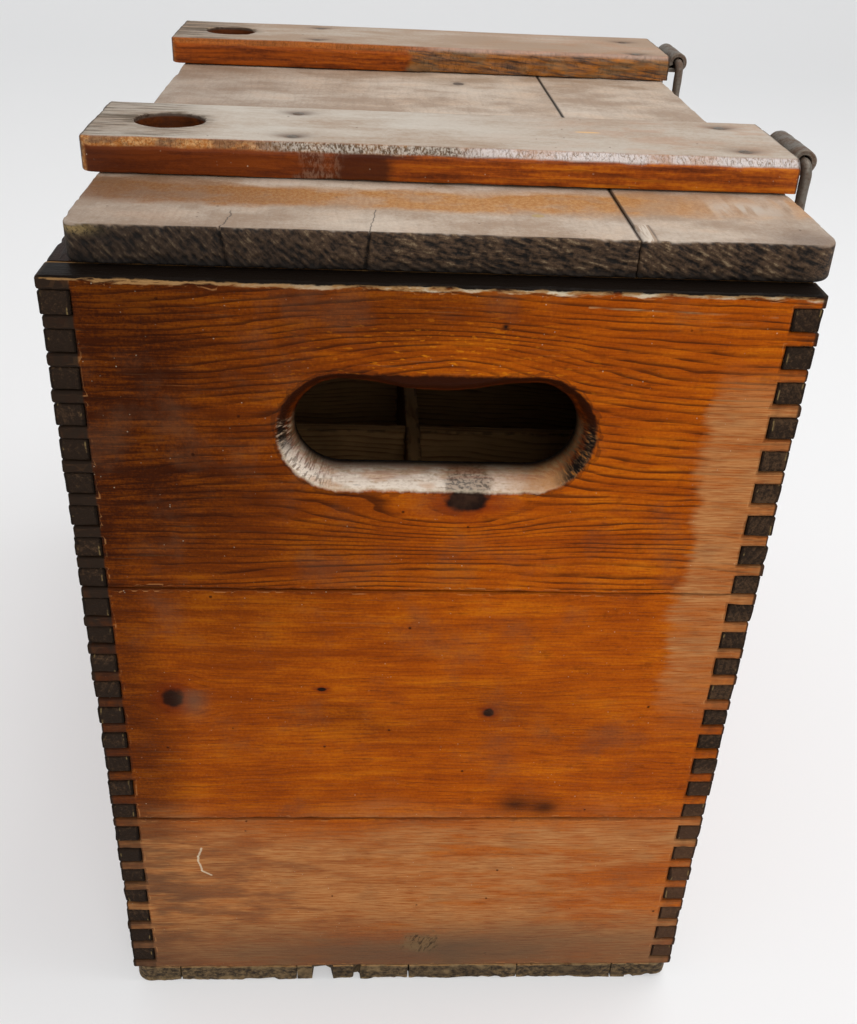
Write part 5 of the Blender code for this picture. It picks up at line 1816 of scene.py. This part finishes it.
class CrateColours(bpy.types.PropertyGroup):
    """The crate's colours."""

    varnish: hue("Varnish", 177, 84, 4, "Bright varnished pine")
    varnish_line: hue("Varnish Line", 136, 56, 3, "Latewood lines under the varnish")
    line: hue("Latewood", 74, 30, 3, "Dark latewood lines under the varnish")
    amber: hue("Amber", 202, 117, 12, "Yellower patches of varnish")
    varnish_red: hue("Varnish Red", 120, 38, 6, "Wood round the knots")
    # Dark, handled varnish, also laid as painted shade over the end panels' left end and upper left.
    patina_and_shade: hue("Patina", 44, 14, 1, "Dark, handled varnish")
    worn: hue("Worn Varnish", 186, 130, 79, "Varnish rubbed matt")
    worn_dark: hue("Worn Dark", 96, 66, 46, "Dirty varnish on the lower fingers")
    dirt: hue("Dirt", 98, 76, 58, "Grey dirt near the floor")
    knot: hue("Knot", 26, 14, 9, "Knots")
    bare: hue("Bare Wood", 214, 172, 118, "Pale wood where the edges are broken")
    inner: hue("Inside Wood", 164, 124, 78, "Unvarnished wood inside the crate")
    inner_line: hue("Inside Line", 118, 80, 44, "Latewood lines of the unvarnished wood")
    dust: hue("Dust", 216, 200, 172, "Specks of dust and old paint")
    # Dirt, also laid as painted shade on the walls' tops under the lid and deep inside the hand slot.
    grime: hue("Grime", 20, 14, 10, "Dirt in seams and cuts")
    end_dark: hue("End Grain", 42, 31, 23, "Dirty end grain")
    end_light: hue("End Grain Line", 82, 61, 43, "Lighter rings of the end grain")
    end_pale: hue("End Grain Bare", 168, 142, 92, "Cleaner end grain")
    lip: hue("Slot Lip", 236, 220, 203, "Rubbed silvery wood below the hand slot")
    lip_dark: hue("Slot Lip Line", 184, 158, 134, "Fibres of the slot's lip")
    # Weathered grey of the lid, partly a painted sheen.
    lid_grey_and_sheen: hue("Lid Grey", 204, 190, 174, "Weathered wood of the lid")
    lid_brown: hue("Lid Brown", 158, 134, 112, "Darker patches of the lid")
    lid_orange: hue("Lid Orange", 156, 96, 36, "Varnish left on the lid")
    lid_dark: hue("Lid Dark", 84, 60, 43, "Dark lines of the lid")
    # Raised rings on the lid's ends, lighter partly as a painted highlight.
    lid_end: hue("Lid End", 140, 118, 90, "Raised rings on the lid's ends")
    # Weathered grey of the battens, partly a painted sheen.
    batten_grey: hue("Batten Grey", 192, 184, 172, "Weathered wood of the battens")
    batten_orange: hue("Batten Orange", 168, 78, 6, "Varnish left on the battens")
    batten_dark: hue("Batten Dark", 84, 32, 2, "Dark lines of the battens")
    driftwood: hue("Driftwood", 84, 70, 54, "Dark weathered ends")
    hole: hue("Finger Hole", 52, 28, 14, "The bored wall of the finger holes")
    # Bloom on the chamfer, partly a painted sheen.
    lilac_bloom_and_sheen: hue("Paint Bloom", 212, 202, 198, "Bloomed, crackled finish on the battens' edges")
    rust_stain: hue("Rust Stain", 84, 60, 44, "Wood stained round the nails")
    bottom: hue("Bottom Wood", 122, 100, 70, "Scuffed wood of the bottom")
    bottom_dark: hue("Bottom Dark", 46, 36, 26, "Dirt on the bottom")
    bottom_light: hue("Bottom Light", 152, 126, 88, "Crushed, paler end grain of the bottom")
    iron: hue("Iron", 112, 104, 94, "Dull iron")
    # Rubbed iron edges, which also stand for a painted highlight.
    iron_rubbed_edge_and_highlight: hue("Iron Edge", 150, 138, 122, "Rubbed edges of the iron")
    rust: hue("Rust", 92, 68, 50, "Brown rust")
    rust_dark: hue("Rust Dark", 44, 32, 24, "Dark rust in pits")


class CrateStudio(bpy.types.PropertyGroup):
    """The floor, the backdrop and the lamps."""

    floor: hue("Floor", 243, 243, 243, "Pale floor and backdrop")
    haze: hue("Haze", 250, 250, 251, "What the camera sees of the floor besides its own light")
    key: FloatProperty(name="Key Lamp", description="Power of the lamp above on the right", default=12.0,
                       min=0.0, max=200.0, unit="POWER")
    fill: FloatProperty(name="Fill Lamp", description="Power of the lamp in front on the right", default=11.0,
                        min=0.0, max=200.0, unit="POWER")
    sky: FloatProperty(name="Sky", description="Strength of the light from all round", default=0.62,
                       min=0.0, max=2.0)


# Operators

class CratePiece:
    """What the crate's operators share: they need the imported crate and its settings."""

    bl_options = {"REGISTER", "UNDO"}

    def execute(self, context):
        if not frame["nodes"]:
            raise RuntimeError("The packed crate isn't loaded")
        self.build(context.scene.crate_sizes, context.scene.crate_colours)
        return {"FINISHED"}


class OBJECT_OT_crate_ends(CratePiece, bpy.types.Operator):
    """Builds the boards of both end panels, with the hand slots"""

    bl_idname = "object.crate_ends"
    bl_label = "End Panels"

    def build(self, sizes, hues):
        for side, facing in (("front", -1), ("back", 1)):
            for part in ("bottom", "middle", "top"):
                end_board(side, part, facing, sizes, hues)


class OBJECT_OT_crate_sides(CratePiece, bpy.types.Operator):
    """Builds the boards of both side walls"""

    bl_idname = "object.crate_sides"
    bl_label = "Side Walls"

    def build(self, sizes, hues):
        for side, facing in (("left", -1), ("right", 1)):
            for part in ("bottom", "middle", "top"):
                side_board(side, part, facing, sizes, hues)


class OBJECT_OT_crate_bottom(CratePiece, bpy.types.Operator):
    """Builds the three boards of the bottom"""

    bl_idname = "object.crate_bottom"
    bl_label = "Bottom"

    def build(self, sizes, hues):
        for part in ("left", "middle", "right"):
            bottom_board(part, hues)


class OBJECT_OT_crate_partitions(CratePiece, bpy.types.Operator):
    """Builds the partitions inside"""

    bl_idname = "object.crate_partitions"
    bl_label = "Partitions"

    def build(self, sizes, hues):
        for node in ("long_divider", "front_cross_divider", "rear_cross_divider"):
            partition(node, hues)


class OBJECT_OT_crate_lid(CratePiece, bpy.types.Operator):
    """Builds the lid's two boards and the battens across them"""

    bl_idname = "object.crate_lid"
    bl_label = "Lid"

    def build(self, sizes, hues):
        for node in ("lid_wide_board", "lid_narrow_board"):
            lid_board(node, sizes, hues)
        for side in ("front", "rear"):
            batten(side, hues)


class OBJECT_OT_crate_hinges(CratePiece, bpy.types.Operator):
    """Builds the rolled hinge straps and the wire loops through them"""

    bl_idname = "object.crate_hinges"
    bl_label = "Hinges"

    def build(self, sizes, hues):
        for side in ("front", "rear"):
            strap(side, hues)
            wire_loop(side, hues)


class OBJECT_OT_crate_nails(CratePiece, bpy.types.Operator):
    """Builds the nails of the battens and the bottom and the pins of the straps"""

    bl_idname = "object.crate_nails"
    bl_label = "Nails"

    def build(self, sizes, hues):
        for side in ("front", "rear"):
            for number in (1, 2, 3, 4):
                nail(f"{side}_batten_nail_{number}", LID_NAIL_SHANK, True, hues)
            for number in (1, 2):
                nail(f"{side}_strap_pin_{number}", PIN_SHANK, False, hues)
        for side in ("front", "back"):
            for number in (1, 2, 3, 4, 5, 6):
                nail(f"{side}_bottom_nail_{number}", BOTTOM_NAIL_SHANK, False, hues)


def backdrop(studio):
    """The floor and backdrop in one sheet: flat, then up a quarter circle, then straight."""
    run = np.linspace(BACKDROP_FRONT, BACKDROP_BEND, 12)
    turn = np.linspace(0, np.pi / 2, 16)[1:]
    rise = np.linspace(0, BACKDROP_HEIGHT, 8)[1:]
    y = np.concatenate((run, BACKDROP_BEND + BACKDROP_RADIUS * np.sin(turn),
                        np.full(len(rise), BACKDROP_BEND + BACKDROP_RADIUS)))
    z = np.concatenate((np.zeros(len(run)), BACKDROP_RADIUS * (1 - np.cos(turn)), BACKDROP_RADIUS + rise))
    x = np.linspace(-BACKDROP_WIDTH / 2, BACKDROP_WIDTH / 2, 9)
    points = np.stack(np.broadcast_arrays(x[None], y[:, None], z[:, None]), 2).reshape(-1, 3)
    index = np.arange(len(y) * len(x)).reshape(len(y), len(x))
    faces = np.stack((index[:-1, :-1], index[:-1, 1:], index[1:, 1:], index[1:, :-1]), 2).reshape(-1, 4)
    mesh = bpy.data.meshes.new("studio_sweep")
    mesh.from_pydata(points.tolist(), [], faces.tolist())
    mesh.shade_smooth()
    shade = Shade("studio_paper")
    mottle = shade.noise(0.4, 5.0)
    colour = shade.mix(mottle * 0.04, studio.floor, (0.8, 0.8, 0.8))
    x, y, z = shade.axes
    # The glow darkens and turns bluer towards the back: painted shade on the far backdrop.
    far = shade.mix(y.step(0.2, 2.4) * 0.14, studio.haze, (0.55, 0.62, 0.68))
    mesh.materials.append(shade.paper(colour, far))
    sweep = bpy.data.objects.new("studio_sweep", mesh)
    bpy.context.scene.collection.objects.link(sweep)


def lamp(name, power, width, place, target):
    """A square soft lamp at a place, turned to a target."""
    light = bpy.data.lights.new(name, "AREA")
    light.shape = "SQUARE"
    light.size = width
    light.energy = power
    made = bpy.data.objects.new(name, light)
    way = Vector(place) - Vector(target)
    made.rotation_euler = way.to_track_quat("Z", "Y").to_euler()
    made.location = place
    bpy.context.scene.collection.objects.link(made)


class OBJECT_OT_crate_studio(bpy.types.Operator):
    """Builds the floor, the backdrop, the lamps and the camera"""

    bl_idname = "object.crate_studio"
    bl_label = "Studio"
    bl_options = {"REGISTER", "UNDO"}

    def execute(self, context):
        scene = context.scene
        studio = scene.crate_studio
        backdrop(studio)
        lamp("key_lamp", studio.key, KEY_WIDTH, KEY_PLACE, CRATE_MIDDLE)
        lamp("fill_lamp", studio.fill, FILL_WIDTH, FILL_PLACE, CRATE_MIDDLE)
        world = bpy.data.worlds.new("studio_sky")
        world.use_nodes = True
        world.node_tree.nodes["Background"].inputs["Color"].default_value = (1.0, 1.0, 1.0, 1.0)
        world.node_tree.nodes["Background"].inputs["Strength"].default_value = studio.sky
        scene.world = world
        camera = bpy.data.cameras.new("photo_camera")
        camera.lens = CAMERA_LENS
        camera.sensor_width = SENSOR_WIDTH
        viewer = bpy.data.objects.new("photo_camera", camera)
        columns = (CAMERA_RIGHT, -Vector(CAMERA_DOWN), -Vector(CAMERA_AHEAD))
        viewer.matrix_world = Matrix.Translation(CAMERA_PLACE) @ Matrix(columns).transposed().to_4x4()
        scene.collection.objects.link(viewer)
        scene.camera = viewer
        scene.view_settings.view_transform = "Standard"
        return {"FINISHED"}


OPERATORS = (
    OBJECT_OT_crate_studio, OBJECT_OT_crate_ends, OBJECT_OT_crate_sides, OBJECT_OT_crate_bottom,
    OBJECT_OT_crate_partitions, OBJECT_OT_crate_lid, OBJECT_OT_crate_hinges, OBJECT_OT_crate_nails,
)


class VIEW3D_PT_crate(bpy.types.Panel):
    """Lists the crate's steps and settings"""

    bl_label = "Siphon Crate"
    bl_space_type = "VIEW_3D"
    bl_region_type = "UI"
    bl_category = "Crate"

    def draw(self, context):
        scene = context.scene
        for operator in OPERATORS:
            self.layout.operator(operator.bl_idname)
        for group in (scene.crate_sizes, scene.crate_studio, scene.crate_colours):
            column = self.layout.column()
            for name in group.__annotations__:
                column.prop(group, name)


CLASSES = (CrateSizes, CrateColours, CrateStudio, *OPERATORS, VIEW3D_PT_crate)


def register():
    for made in CLASSES:
        bpy.utils.register_class(made)
    bpy.types.Scene.crate_sizes = PointerProperty(type=CrateSizes)
    bpy.types.Scene.crate_colours = PointerProperty(type=CrateColours)
    bpy.types.Scene.crate_studio = PointerProperty(type=CrateStudio)


def unregister():
    del bpy.types.Scene.crate_studio
    del bpy.types.Scene.crate_colours
    del bpy.types.Scene.crate_sizes
    for made in reversed(CLASSES):
        bpy.utils.unregister_class(made)


def main():
    """Builds everything in order."""
    register()
    bpy.ops.object.crate_studio()
    bpy.ops.object.crate_ends()
    bpy.ops.object.crate_sides()
    bpy.ops.object.crate_bottom()
    bpy.ops.object.crate_partitions()
    bpy.ops.object.crate_lid()
    bpy.ops.object.crate_hinges()
    bpy.ops.object.crate_nails()


if __name__ == "__main__":
    main()
